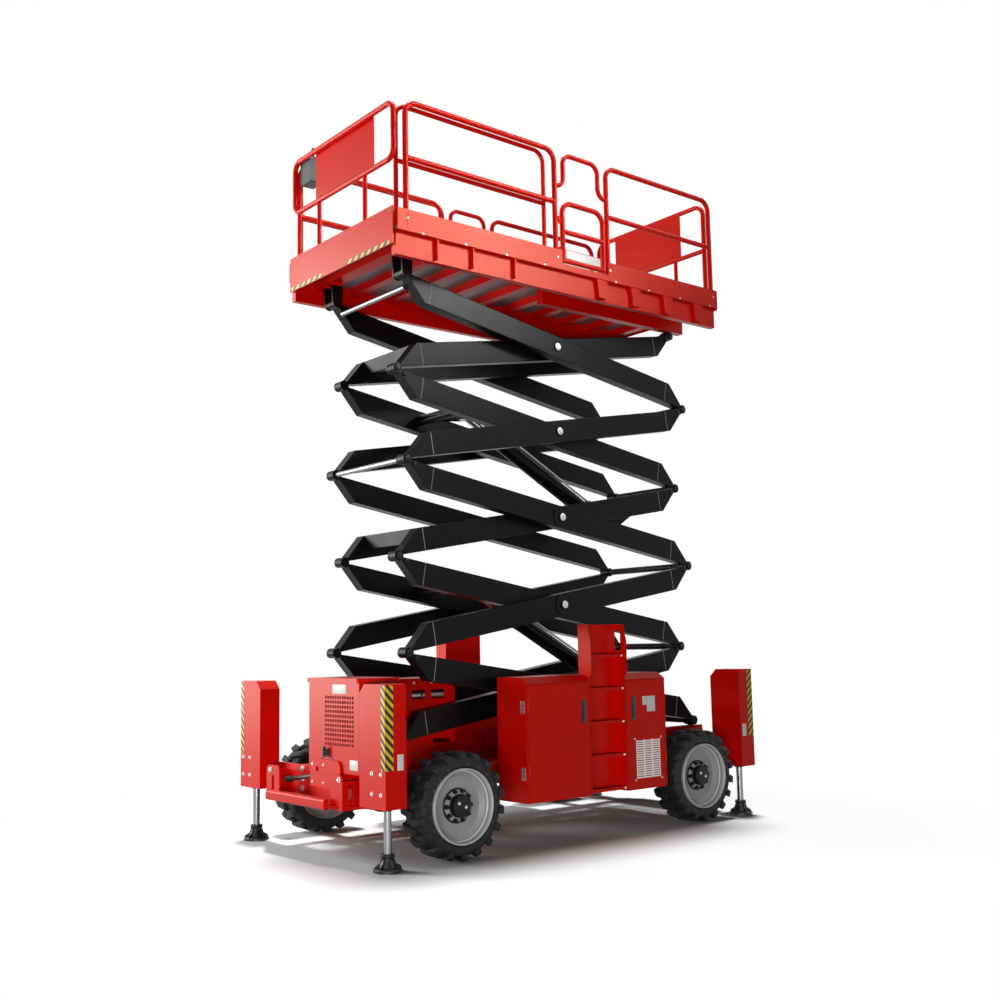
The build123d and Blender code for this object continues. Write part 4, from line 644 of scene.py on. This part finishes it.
def hub_end(corner, centre, out):
    """Black hub end on its flange, inside a ring of wheel nuts on their studs."""
    drum = [(0.0, 0.128), (0.060, 0.128), (0.084, 0.122), (0.090, 0.112), (0.090, 0.030), (0.0, 0.030)]
    flange = [(0.0, 0.056), (0.126, 0.056), (0.137, 0.050), (0.140, 0.029), (0.0, 0.029)]
    bm = bmesh.new()
    add_turned(bm, drum, centre, out, steps=40)
    add_turned(bm, flange, centre, out, steps=48)
    for number in range(NUT_COUNT):
        at = wheel_point(centre, out, 2 * pi * number / NUT_COUNT, NUT_CIRCLE_R, NUT_SEAT)
        add_rod(bm, at, at + out * STUD_LENGTH, STUD_R, segments=12)
        add_rod(bm, at, at + out * NUT_HEIGHT, NUT_FOOT_R, NUT_TOP_R, segments=6)
    make_piece("hub_end_" + corner, bm, IRON, "wheel_" + corner)


def rim_beads(corner, centre, out):
    """Lip of the rim and the rounded bead inside it, their pale enamel a painted highlight."""
    lip = [(0.278, 0.120), (0.277, 0.143), (0.281, 0.1485), (0.288, 0.1490), (0.2915, 0.145), (0.2915, 0.130)]
    bead = [(0.274, 0.080), (0.266, 0.084), (0.262, 0.090), (0.266, 0.096), (0.2755, 0.100)]
    bm = bmesh.new()
    for profile in (lip, bead):
        add_turned(bm, profile, centre, out, steps=64)
    make_piece("rim_beads_" + corner, bm, RIM_HIGHLIGHT, "wheel_" + corner)


def hub_plugs(corner, centre, out):
    """Two bright oil plugs on the hub's end."""
    bm = bmesh.new()
    for turn, reach in ((0.6, 0.045), (3.4, 0.030)):
        add_bolt(bm, wheel_point(centre, out, turn, reach, PLUG_SEAT), out, 0.016)
    make_piece("hub_plugs_" + corner, bm, ZINC, "wheel_" + corner)


def side_wall_holes(corner, centre, out):
    """Ring of holes in the tyre's side wall, each a shallow disc with a low rim, its near-black rubber
    painted shade.
    """
    hole = [(0.0, 0.0006), (0.009, 0.0010), (0.011, 0.0024), (0.013, 0.0024), (0.015, -0.002), (0.0, -0.002)]
    bm = bmesh.new()
    for number in range(HOLE_COUNT):
        turn = 2 * pi * (number + 0.5) / HOLE_COUNT
        add_turned(bm, hole, wheel_point(centre, out, turn, HOLE_CIRCLE_R, HOLE_SEAT), out, steps=12)
    make_piece("side_wall_holes_" + corner, bm, HOLE_SHADE_RUBBER, "wheel_" + corner)


def wheels():
    """Dresses the four wheels."""
    for corner, (x, side) in CORNERS.items():
        centre = (x, side * WHEEL_Y, WHEEL_R)
        out = Vector((0, side, 0))
        for dress in (tyre_tread, hub_end, rim_beads, hub_plugs, side_wall_holes):
            dress(corner, centre, out)


# Scissor arms
def arm_line(front_level, rear_level):
    """One arm in the side view: a point from how far back and how far up it is, its length and its lean."""
    rises = 1 if rear_level > front_level else -1
    rise = abs(LEVELS[rear_level] - LEVELS[front_level])
    between = (ARM_SPAN ** 2 + rise ** 2) ** 0.5
    skew = asin(ARM_PITCH / between)
    tilt = rises * (asin(rise / between) - skew)

    def at(along, up, y):
        lift = up + rises * ARM_PITCH / 2
        return Vector((PIN_FRONT_X - along * cos(tilt) + lift * sin(tilt), y,
                       LEVELS[front_level] + along * sin(tilt) + lift * cos(tilt)))
    return at, between * cos(skew), rises


def pin_end(radius):
    """Profile of a pin's end: a low head with a rounded edge."""
    return [(0.0, 0.011), (radius * 0.7, 0.011), (radius * 0.95, 0.008), (radius, 0.004),
            (radius, -0.002), (0.0, -0.002)]


def arm_dressing(body, levels, face_y, forked_front):
    """Rolled edges, welded seams, and the pins' ends of one arm pair."""
    at, length, rises = arm_line(*levels)
    low = -rises * (ARM_EDGE - EDGE_INSET)
    high = -low
    slant = length - ARM_CHAMFER
    runs = [((EDGE_TIP, low), (slant, low)),
            ((slant, low), (length - SLANT_TIP, high * SLANT_SHARE)),
            ((length - EDGE_TIP, high), (ARM_CHAMFER, high)),
            ((ARM_CHAMFER, high), (SLANT_TIP, low * SLANT_SHARE))]
    pin_along = 0.0 if forked_front else length
    keeper_back = KEEPER_BACK if forked_front else -KEEPER_BACK
    leans = rises if forked_front else -rises
    pin_up = -leans * ARM_PITCH / 2
    heads = ((0.0, pin_up, PIN_END_R), (keeper_back, pin_up + leans * KEEPER_RISE, KEEPER_R))
    edges = bmesh.new()
    seams = bmesh.new()
    pins = bmesh.new()
    for side in SIDES:
        face = side * face_y
        edge_y = side * (face_y - EDGE_INSET)
        for start, end in runs:
            add_rod(edges, at(*start, edge_y), at(*end, edge_y), EDGE_R, segments=12)
        for along in (SEAM_IN, length - SEAM_IN):
            add_rod(seams, at(along, low, face), at(along, high, face), SEAM_R, segments=10)
        for back, up, radius in heads:
            add_turned(pins, pin_end(radius), at(pin_along + back, up, face), (0, side, 0), steps=24)
    make_piece("rolled_edges_" + body, edges, BLACK, body)
    make_piece("seams_" + body, seams, WELD, body)
    make_piece("pin_ends_" + body, pins, IRON, body)


def centre_bolts(number):
    """Bright heads on the middle pins, which the inner arms carry."""
    washer = [(0.0, 0.004), (0.030, 0.004), (0.034, 0.002), (0.034, -0.002), (0.0, -0.002)]
    z = LEVELS[number] - STAGE_RISE / 2
    face = OUTER_FACE_Y + PIN_HEAD_T + (DOUBLER_T if number in DOUBLED_STAGES else 0)
    bm = bmesh.new()
    for side in SIDES:
        at = Vector((PIN_MIDDLE_X, side * face, z))
        out = Vector((0, side, 0))
        add_turned(bm, washer, at, out, steps=32)
        add_rod(bm, at, at + out * CENTRE_HEAD_T, CENTRE_HEAD_FOOT_R, CENTRE_HEAD_TOP_R, segments=6)
    make_piece("centre_bolts_%d" % number, bm, ZINC, "inner_%d" % number)


def arms():
    """Dresses the five inner and the five outer arm pairs."""
    for number, levels in enumerate(INNER_ARMS, start=1):
        arm_dressing("inner_%d" % number, levels, INNER_FACE_Y, number in FORKED_INNER)
        centre_bolts(number)
    for number, levels in enumerate(OUTER_ARMS, start=1):
        arm_dressing("outer_%d" % number, levels, OUTER_FACE_Y, number in FORKED_OUTER)


def cylinder_pipes(name, level):
    """Gland nuts and clamps round a lift cylinder's barrel, and two steel pipes along it with their nuts."""
    foot = Vector((BARREL_FOOT_X, 0, LEVELS[level] - BARREL_FOOT_DROP))
    eye = Vector((ROD_EYE_X, 0, LEVELS[level] + ROD_EYE_RISE))
    way = (eye - foot).normalized()
    over = Vector((-way.z, 0, way.x))
    clamp = [(0.0745, 0.0), (0.078, 0.002), (0.078, 0.022), (0.0745, 0.024)]
    bm = bmesh.new()
    for start, end in GLANDS:
        gland = [(0.072, 0.0), (0.083, 0.003), (0.083, end - start - 0.003), (0.072, end - start)]
        add_turned(bm, gland, foot + way * start, way, steps=40)
    for along in CLAMPS:
        add_turned(bm, clamp, foot + way * along, way, steps=40)
    make_piece("gland_" + name, bm, BLACK, "barrel_" + name)
    bm = bmesh.new()
    for y in (-PIPE_Y, PIPE_Y):
        start, end = [foot + way * along + Vector((0, y, 0)) for along in PIPE_RUN]
        add_rod(bm, start + over * PIPE_OVER, end + over * PIPE_OVER, PIPE_R, segments=16)
        for at in (start, end):
            nut_foot, nut_top = [at + over * reach for reach in PIPE_NUT_OVER]
            add_rod(bm, nut_foot, nut_top, PIPE_NUT_FOOT_R, PIPE_NUT_TOP_R, segments=6)
    make_piece("pipes_" + name, bm, ZINC, "barrel_" + name)


# Chassis
def housing_trim():
    """Jack housings: tape on their corners, bolts, blank plates on their sides, and rod seals."""
    seal = [(0.0305, 0.002), (0.0305, -0.014), (0.040, -0.018), (0.048, -0.012), (0.048, 0.002)]
    tape_low, tape_high = TAPE_Z
    tape_on_face = 0.057
    tape_on_side = 0.072
    plate_z = (0.744, 0.860)
    plate_back = (0.163, 0.108)
    bolt_places = [(y, z) for y in (0.975, 1.098) for z in (0.72, 0.57)]
    tapes = {end: bmesh.new() for end in ENDS}
    bolts = bmesh.new()
    plates = bmesh.new()
    seals = bmesh.new()
    for end in ENDS:
        face = end * HOUSING_X
        face_edge = face - end * MM
        for side in SIDES:
            wall = side * HOUSING_Y
            wall_edge = wall - side * MM
            add_block(tapes[end], (face - TAPE_T, wall - side * tape_on_face, tape_low),
                      (face + TAPE_T, wall_edge, tape_high))
            add_block(tapes[end], (face - end * tape_on_side, wall - TAPE_T, tape_low),
                      (face_edge, wall + TAPE_T, tape_high))
            for y, z in bolt_places:
                add_bolt(bolts, (face, side * y, z), (end, 0, 0), 0.020)
            add_block(plates, (face - end * plate_back[0], wall - PLATE_T, plate_z[0]),
                      (face - end * plate_back[1], wall + PLATE_T, plate_z[1]), bevel=PLATE_ROUND)
            add_turned(seals, seal, (end * JACK_X, side * JACK_Y, HOUSING_FOOT_Z), UPWARDS, steps=32)
    make_piece("tape_front", tapes[1], TAPE_FRONT, "chassis")
    make_piece("tape_rear", tapes[-1], TAPE_REAR, "chassis")
    make_piece("housing_bolts", bolts, ZINC, "chassis")
    make_piece("housing_plates", plates, WHITE, "chassis")
    make_piece("rod_seals", seals, NYLON, "chassis")


def jack_foot_ribs():
    """Cast ribs that stiffen each jack's foot, and the ball's clamp ring above it."""
    rib = [(0.040, 0.026), (0.104, 0.026), (0.100, 0.040), (0.062, 0.062), (0.052, 0.092), (0.040, 0.092)]
    ring = [(0.031, 0.130), (0.050, 0.130), (0.053, 0.124), (0.053, 0.104), (0.050, 0.098), (0.044, 0.098)]
    for corner, (x, side) in CORNERS.items():
        end = 1 if x > 0 else -1
        centre = Vector((end * JACK_X, side * JACK_Y, 0.0))
        bm = bmesh.new()
        for number in range(FOOT_RIBS):
            turn = 2 * pi * (number + 0.5) / FOOT_RIBS
            outward = Vector((cos(turn), sin(turn), 0))
            sideways = Vector((-sin(turn), cos(turn), 0))
            place = Matrix((outward, Vector(UPWARDS), sideways)).transposed().to_4x4()
            place.translation = centre - sideways * RIB_T / 2
            outline_block(bm, rib, RIB_T, place, 1.5 * MM)
        add_turned(bm, ring, centre, UPWARDS, steps=36)
        make_piece("foot_ribs_" + corner, bm, IRON, "jack_" + corner)


def tray_fittings():
    """Bolts on the front tray's plates and ears, and the lever with its grip."""
    tray_plate = [(TRAY_PLATE_X, -0.336, z) for z in (0.655, 0.565, 0.490)]
    centre_plate = [(CENTRE_PLATE_X, y, z) for y in (0.130, 0.300) for z in (0.740, 0.600)]
    ears = [(2.160, -0.545, EAR_BOLT_Z), (2.180, 0.590, EAR_BOLT_Z)]
    bolts = bmesh.new()
    for places, size in ((tray_plate, 0.030), (centre_plate, 0.014), (ears, 0.026)):
        for at in places:
            add_bolt(bolts, at, FORWARDS, size)
    make_piece("tray_bolts", bolts, ZINC, "chassis")
    grip = [(0.0, -0.020), (0.020, -0.018), (0.027, 0.0), (0.028, 0.060), (0.022, 0.078), (0.0, 0.082)]
    grip_at = (2.0385, -0.420, 0.567)
    grip_way = (0.02, -0.99, -0.14)
    lever_foot = (2.030, -0.040, 0.622)
    lever_end = (2.040, -0.470, 0.560)
    bm = bmesh.new()
    add_rod(bm, lever_foot, lever_end, 0.018, 0.016)
    add_turned(bm, grip, grip_at, grip_way, steps=24)
    add_block(bm, (1.972, -0.070, 0.600), (2.040, -0.020, 0.650), bevel=4 * MM)
    make_piece("tray_lever", bm, NYLON, "chassis")


def cooler_core():
    """Finned cooler behind the front cabinet's grille."""
    fins = 24
    first_fin_y = 0.296
    fin_pitch = 0.0178
    fin_t = 0.006
    fin_z = (0.900, 1.278)
    fin_depth = 0.007
    core_front_x = 2.085
    bm = bmesh.new()
    add_block(bm, (2.050, 0.290, 0.895), (core_front_x, 0.715, 1.283))
    for number in range(fins):
        y = first_fin_y + number * fin_pitch
        add_block(bm, (core_front_x, y, fin_z[0]), (core_front_x + fin_depth, y + fin_t, fin_z[1]))
    make_piece("cooler_core", bm, IRON, "chassis")


def nose_fittings():
    """Blank plates on the front cabinet, and its turn knob over a dark curved edge strip."""
    plates = bmesh.new()
    for y, z in (((0.405, 0.609), (1.300, 1.372)), ((0.659, 0.774), (0.722, 0.798))):
        add_block(plates, (NOSE_FRONT_X - MM, y[0], z[0]), (NOSE_FRONT_X + PLATE_T, y[1], z[1]),
                  bevel=PLATE_ROUND)
    make_piece("nose_plates", plates, WHITE, "chassis")
    knob = [(0.0, 0.030), (0.018, 0.030), (0.023, 0.024), (0.024, 0.008), (0.034, 0.006),
            (0.034, -0.002), (0.0, -0.002)]
    at = Vector((NOSE_FRONT_X, 0.327, 0.843))
    strip_r = 0.20
    strip_drop = 0.235
    strip_bends = 9
    strip_from = radians(52)
    strip_step = radians(9.5)
    bm = bmesh.new()
    add_turned(bm, knob, at, FORWARDS, steps=28)
    add_block(bm, at + Vector((0.020, -0.008, -0.032)), at + Vector((0.044, 0.008, 0.044)), bevel=3 * MM)
    turns = [strip_from + number * strip_step for number in range(strip_bends + 1)]
    points = [at + Vector((0, cos(turn) * strip_r, sin(turn) * strip_r - strip_drop)) for turn in turns]
    for start, end in zip(points, points[1:]):
        add_rod(bm, start, end, 5 * MM, segments=10)
    make_piece("nose_knob", bm, NYLON, "chassis")


def tank_fittings():
    """Bars across the tank's windows and bolts along its top flange."""
    bars = bmesh.new()
    for rear_x, front_x in ((1.21, 1.45), (0.95, 1.19)):
        add_rod(bars, (rear_x, TANK_BAR_Y, TANK_BAR_Z), (front_x, TANK_BAR_Y, TANK_BAR_Z), TANK_BAR_R)
    make_piece("tank_pipes", bars, ZINC, "chassis")
    bolts = bmesh.new()
    for number in range(TANK_BOLTS):
        x = TANK_BOLT_X + number * TANK_BOLT_PITCH
        add_bolt(bolts, (x, TANK_FACE_Y, TANK_FLANGE_Z), (0, 1, 0), 0.014)
    make_piece("tank_bolts", bolts, ZINC, "chassis")


# Cabinets
def add_panel(bm, side, x, z, stand, bevel=0.0, foot=-MM):
    """A flat block on a door's outer face, between two places along it and two heights."""
    inner, outer = sorted((side * (CABINET_Y + foot), side * (CABINET_Y + stand)))
    add_block(bm, (x[0], inner, z[0]), (x[1], outer, z[1]), bevel=bevel)


def door_latches(side):
    """Paddle latch with its lock barrel on each door of one side."""
    lock = [(0.0, 0.014), (0.013, 0.013), (0.015, 0.010), (0.015, 0.0), (0.0, 0.0)]
    lock_z = 1.148
    paddle_z = (0.990, 1.120)
    paddle_inset = 0.010
    for door, x in (("front", (0.034, 0.083)), ("rear", (-0.573, -0.524))):
        name = "%s_%s" % (door, SIDE_NAMES[side])
        paddle_x = (x[0] + paddle_inset, x[1] - paddle_inset)
        bm = bmesh.new()
        add_panel(bm, side, x, LATCH_Z, 0.006, bevel=2 * MM)
        add_panel(bm, side, paddle_x, paddle_z, 0.016, bevel=4 * MM, foot=4 * MM)
        add_turned(bm, lock, ((x[0] + x[1]) / 2, side * CABINET_Y, lock_z), (0, side, 0), steps=24)
        make_piece("latch_" + name, bm, NYLON, "door_" + name)


def door_plates(side):
    """Two blank plates on the rear door."""
    name = SIDE_NAMES[side]
    bm = bmesh.new()
    add_panel(bm, side, (-0.823, -0.718), (1.038, 1.176), PLATE_T)
    add_panel(bm, side, (-0.714, -0.663), (1.098, 1.176), PLATE_T)
    make_piece("door_plates_" + name, bm, WHITE, "door_rear_" + name)


def door_vent(side):
    """Bright louvred vent on the rear door: upright ribs, columns of slats, and a bolt at each corner."""
    name = SIDE_NAMES[side]
    left, right = VENT_X
    low, high = VENT_Z
    column = (right - left) / VENT_COLUMNS
    pitch = (high - low) / VENT_ROWS
    rib_half = 0.008
    rib_stand = 0.0030
    slat_inset = 0.006
    slat_share = 0.62
    slat_stand = 0.0036
    bolt_beside = 0.016
    bolt_above = 0.012
    bm = bmesh.new()
    for number in range(VENT_COLUMNS + 1):
        middle = left + number * column
        rib_x = (max(left, middle - rib_half), min(right, middle + rib_half))
        add_panel(bm, side, rib_x, VENT_Z, rib_stand)
    for number in range(VENT_COLUMNS):
        start = left + number * column + slat_inset
        slat_x = (start, start + column - 2 * slat_inset)
        for row in range(VENT_ROWS):
            foot = low + row * pitch
            add_panel(bm, side, slat_x, (foot, foot + pitch * slat_share), slat_stand)
    for x in (left - bolt_beside, right + bolt_beside):
        for z in (low - bolt_above, high + bolt_above):
            add_bolt(bm, (x, side * CABINET_Y, z), (0, side, 0), 0.010)
    make_piece("vent_" + name, bm, VENT, "door_rear_" + name)


def corner_hinges(side):
    """Two leaves and their knuckles at two heights on each end of one side's cabinet."""
    leaves_y = (1.050, 1.084)
    leaf_w = 0.014
    leaf_stand = 5 * MM
    knuckle_y = 1.036
    knuckle_pitch = 0.030
    knuckle_run = Vector((0, side * 0.048, 0))
    bm = bmesh.new()
    for end, wall in ((1, CABINET_FRONT_X), (-1, CABINET_REAR_X)):
        rear, front = sorted((wall - end * MM, wall + end * leaf_stand))
        for level in HINGE_Z:
            for y in leaves_y:
                right, left = sorted((side * y, side * (y - leaf_w)))
                add_block(bm, (rear, right, level - HINGE_HALF), (front, left, level + HINGE_HALF),
                          bevel=1.2 * MM)
            for rise in (-knuckle_pitch, 0.0, knuckle_pitch):
                start = Vector((wall + end * 4 * MM, side * knuckle_y, level + rise))
                add_rod(bm, start, start + knuckle_run, 5 * MM, segments=12)
    make_piece("corner_hinges_" + SIDE_NAMES[side], bm, ZINC, "chassis")


def ladder_bolts():
    """Bolt heads beside each rung and a ribbed grip on each rung's tread."""
    ribs = 5
    first_rib_y = 1.045
    rib_pitch = 0.011
    rib_rise = 0.025
    bolt_x = -0.418
    bolt_y = 1.098
    bolt_rise = 0.013
    bolts = bmesh.new()
    grips = bmesh.new()
    for side in SIDES:
        for row in range(RUNGS):
            z = RUNG_FOOT_Z + row * RUNG_PITCH
            add_bolt(bolts, (bolt_x, side * bolt_y, z + bolt_rise), (0, side, 0), 0.013)
            for number in range(ribs):
                y = side * (first_rib_y + number * rib_pitch)
                start, end = [(x, y, z + rib_rise) for x in RUNG_X]
                add_rod(grips, start, end, 2.2 * MM, segments=8)
    make_piece("ladder_bolts", bolts, ZINC, "chassis")
    make_piece("rung_grips", grips, RED, "chassis")


# Platform
def deck_tape():
    """Two runs of tape along the foot of the roll-out deck's front plate."""
    tape_x = (1.819, 1.8212)
    tape_z = (DECK_Z + 0.133, DECK_Z + 0.168)
    bm = bmesh.new()
    for right, left in ((0.12, 0.80), (-0.82, -0.28)):
        add_block(bm, (tape_x[0], right, tape_z[0]), (tape_x[1], left, tape_z[1]))
    make_piece("tape_deck", bm, TAPE_DECK, "extension")


def gate_plates():
    """A blank plate on the foot of each gate."""
    gate_rail_top = DECK_FLOOR_Z + GATE_CLEARANCE + GATE_RAIL
    plate_x = (-0.525, -0.090)
    plate_y = (0.873, 0.8755)
    plate_z = (gate_rail_top + 0.006, gate_rail_top + 0.094)
    for side in SIDES:
        name = SIDE_NAMES[side]
        right, left = sorted(side * y for y in plate_y)
        bm = bmesh.new()
        add_block(bm, (plate_x[0], right, plate_z[0]), (plate_x[1], left, plate_z[1]), bevel=0.5 * MM)
        make_piece("gate_plate_" + name, bm, WHITE, "gate_" + name)


def post_sleeves():
    """Sleeves round the guard rails' posts, and bolts on the sleeves and along the toe boards."""
    sleeve = [(0.0242, 0.0), (0.031, 0.0), (0.031, 0.110), (0.0285, 0.116), (0.0242, 0.116)]
    sleeve_bolt = (0.030, 0.075)
    toe_bolts = 9
    first_bolt_x = -2.05
    bolt_pitch = 0.45
    toe_bolt_z = DECK_FLOOR_Z - 0.028
    sleeves = bmesh.new()
    bolts = bmesh.new()
    for side in SIDES:
        out = (0, side, 0)
        for x in POSTS_X:
            at = Vector((x, side * RAIL_Y, DECK_FLOOR_Z))
            add_turned(sleeves, sleeve, at, UPWARDS, steps=32)
            add_bolt(bolts, at + Vector((0, side * sleeve_bolt[0], sleeve_bolt[1])), out, 0.010)
        for number in range(toe_bolts):
            x = first_bolt_x + number * bolt_pitch
            if not GATE_GAP_X[0] < x < GATE_GAP_X[1]:
                add_bolt(bolts, (x, side * DECK_EDGE_Y, toe_bolt_z), out, 0.011)
    make_piece("post_sleeves", sleeves, RED, "platform")
    make_piece("deck_bolts", bolts, ZINC, "platform")


def control_panel():
    """Lever, switches and stop button on top of the platform's control box."""
    low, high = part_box("control_box")
    middle = (Vector(low) + Vector(high)) / 2
    top = Vector((middle.x, middle.y, high[2]))
    lever = [(0.034, 0.0), (0.030, 0.010), (0.020, 0.022), (0.011, 0.030), (0.0095, 0.075), (0.015, 0.082),
             (0.018, 0.092), (0.014, 0.102), (0.0, 0.105)]
    switch = [(0.0, 0.012), (0.006, 0.012), (0.008, 0.004), (0.008, 0.0)]
    button = [(0.0, 0.030), (0.014, 0.029), (0.020, 0.024), (0.020, 0.018), (0.010, 0.014), (0.010, 0.0)]
    bm = bmesh.new()
    add_turned(bm, lever, top + Vector((0, 0.035, 0)), UPWARDS, steps=28)
    for number in range(3):
        add_turned(bm, switch, top + Vector((0.035, -0.060 + number * 0.025, 0)), UPWARDS, steps=16)
    make_piece("control_lever", bm, NYLON, "extension")
    bm = bmesh.new()
    add_turned(bm, button, top + Vector((-0.020, -0.045, 0)), UPWARDS, steps=28)
    make_piece("stop_button", bm, RED, "extension")


# Studio
def camera():
    """The photograph's camera: place, turn and lens."""
    forward = Vector((cos(CAMERA_YAW) * cos(CAMERA_PITCH), sin(CAMERA_YAW) * cos(CAMERA_PITCH),
                      sin(CAMERA_PITCH)))
    level = Vector((sin(CAMERA_YAW), -cos(CAMERA_YAW), 0.0))
    upright = level.cross(forward)
    right = level * cos(CAMERA_ROLL) + upright * sin(CAMERA_ROLL)
    up = upright * cos(CAMERA_ROLL) - level * sin(CAMERA_ROLL)
    data = bpy.data.cameras.new("photo_camera")
    data.sensor_fit = "HORIZONTAL"
    data.sensor_width = SENSOR_MM
    data.lens = LENS_MM
    data.clip_end = VIEW_DEPTH
    made = bpy.data.objects.new("photo_camera", data)
    turn = Matrix((right, up, -forward)).transposed()
    made.matrix_world = Matrix.Translation(CAMERA_AT) @ turn.to_4x4()
    link(made)
    bpy.context.scene.camera = made


def softbox(name, at, towards, size, watts, spread=180.0):
    """A rectangular area lamp aimed at a point; a spread under 180 degrees narrows its beam."""
    data = bpy.data.lights.new(name, "AREA")
    data.shape = "RECTANGLE"
    data.size, data.size_y = size
    data.energy = watts
    data.spread = radians(spread)
    made = bpy.data.objects.new(name, data)
    made.matrix_world = stand_at(at, Vector(towards) - Vector(at), "-Z")
    link(made)


def ceiling_light():
    """Broad light from above that leans a little, so the shadow falls towards the camera."""
    data = bpy.data.lights.new("ceiling", "SUN")
    data.energy = CEILING_STRENGTH
    data.angle = CEILING_SOFTNESS
    made = bpy.data.objects.new("ceiling", data)
    made.rotation_euler = (CEILING_LEAN, -CEILING_LEAN, 0.0)
    link(made)


def seen_ray(tree):
    """1 for the rays that show the white room: the camera's, and what gloss and glass send on."""
    ray = add_node(tree, "LightPath", {}, {})
    seen = ray.outputs["Is Camera Ray"]
    for kind in ("Is Glossy Ray", "Is Transmission Ray"):
        seen = add_node(tree, "Math", {"operation": "MAXIMUM"}, {0: seen, 1: ray.outputs[kind]}).outputs[0]
    return seen


def white_room():
    """White all round where it is seen or mirrored, and only a faint light on the machine."""
    world = bpy.data.worlds.new("white_room")
    bpy.context.scene.world = world
    world.use_nodes = True
    tree = world.node_tree
    tree.nodes.clear()
    strength = add_node(tree, "MapRange", {}, {"Value": seen_ray(tree), "To Min": ROOM_FILL, "To Max": 1.0})
    sky = add_node(tree, "Background", {},
                   {"Color": colour("#ffffff"), "Strength": strength.outputs["Result"]})
    add_node(tree, "OutputWorld", {}, {"Surface": sky.outputs["Background"]})


def studio_floor_paint():
    """Matt white floor that keeps the shadow round the machine and runs out into plain white further off."""
    made = bpy.data.materials.new("studio_floor_paint")
    made.use_nodes = True
    tree = made.node_tree
    tree.nodes.clear()
    place = add_node(tree, "TexCoord", {}, {}).outputs["Object"]
    away = add_node(tree, "VectorMath", {"operation": "LENGTH"}, {0: place}).outputs["Value"]
    far = add_node(tree, "MapRange", {"interpolation_type": "SMOOTHSTEP"},
                   {"Value": away, "From Min": SHADOW_R, "From Max": WHITE_R}).outputs["Result"]
    seen = seen_ray(tree)
    tone = add_node(tree, "Mix", {"data_type": "RGBA"}, {0: seen, 6: colour("#2c2c2c"), 7: colour("#fafdfd")})
    paint = add_node(tree, "BsdfDiffuse", {}, {"Color": tone.outputs[2]})
    white = add_node(tree, "Emission", {}, {"Color": colour("#ffffff"), "Strength": 1.0})
    share = add_node(tree, "Math", {"operation": "MULTIPLY"}, {0: far, 1: seen}).outputs[0]
    both = add_node(tree, "MixShader", {}, {0: share, 1: paint.outputs["BSDF"], 2: white.outputs["Emission"]})
    add_node(tree, "OutputMaterial", {}, {"Surface": both.outputs["Shader"]})
    return made


def studio_floor():
    """A wide flat floor, which is no piece of the machine."""
    bm = bmesh.new()
    bmesh.ops.create_grid(bm, x_segments=1, y_segments=1, size=FLOOR_HALF)
    mesh = bpy.data.meshes.new("studio_floor")
    bm.to_mesh(mesh)
    bm.free()
    mesh.materials.append(studio_floor_paint())
    floor = bpy.data.objects.new("studio_floor", mesh)
    link(floor)


def studio():
    """Three softboxes, the light from above, the white room and its floor."""
    softbox("front_box", (7.6, -7.8, 4.4), (1.0, 0.0, 3.0), (4.0, 8.0), 1120)
    softbox("camera_box", (9.0, 10.0, 0.55), (0.0, 0.0, 2.4), (8.0, 0.9), 860)
    softbox("deck_box", (-4.5, 8.2, 8.9), (1.2, 0.9, 5.5), (3.0, 3.0), 45, spread=34.0)
    ceiling_light()
    white_room()
    studio_floor()
    bpy.context.scene.view_settings.view_transform = "Standard"


# The whole scene
finish_solids()
camera()
wheels()
arms()
cylinder_pipes("lower", 1)
cylinder_pipes("upper", 3)
housing_trim()
jack_foot_ribs()
tray_fittings()
cooler_core()
nose_fittings()
tank_fittings()
for side in SIDES:
    door_latches(side)
    door_plates(side)
    door_vent(side)
    corner_hinges(side)
ladder_bolts()
deck_tape()
gate_plates()
post_sleeves()
control_panel()
studio()
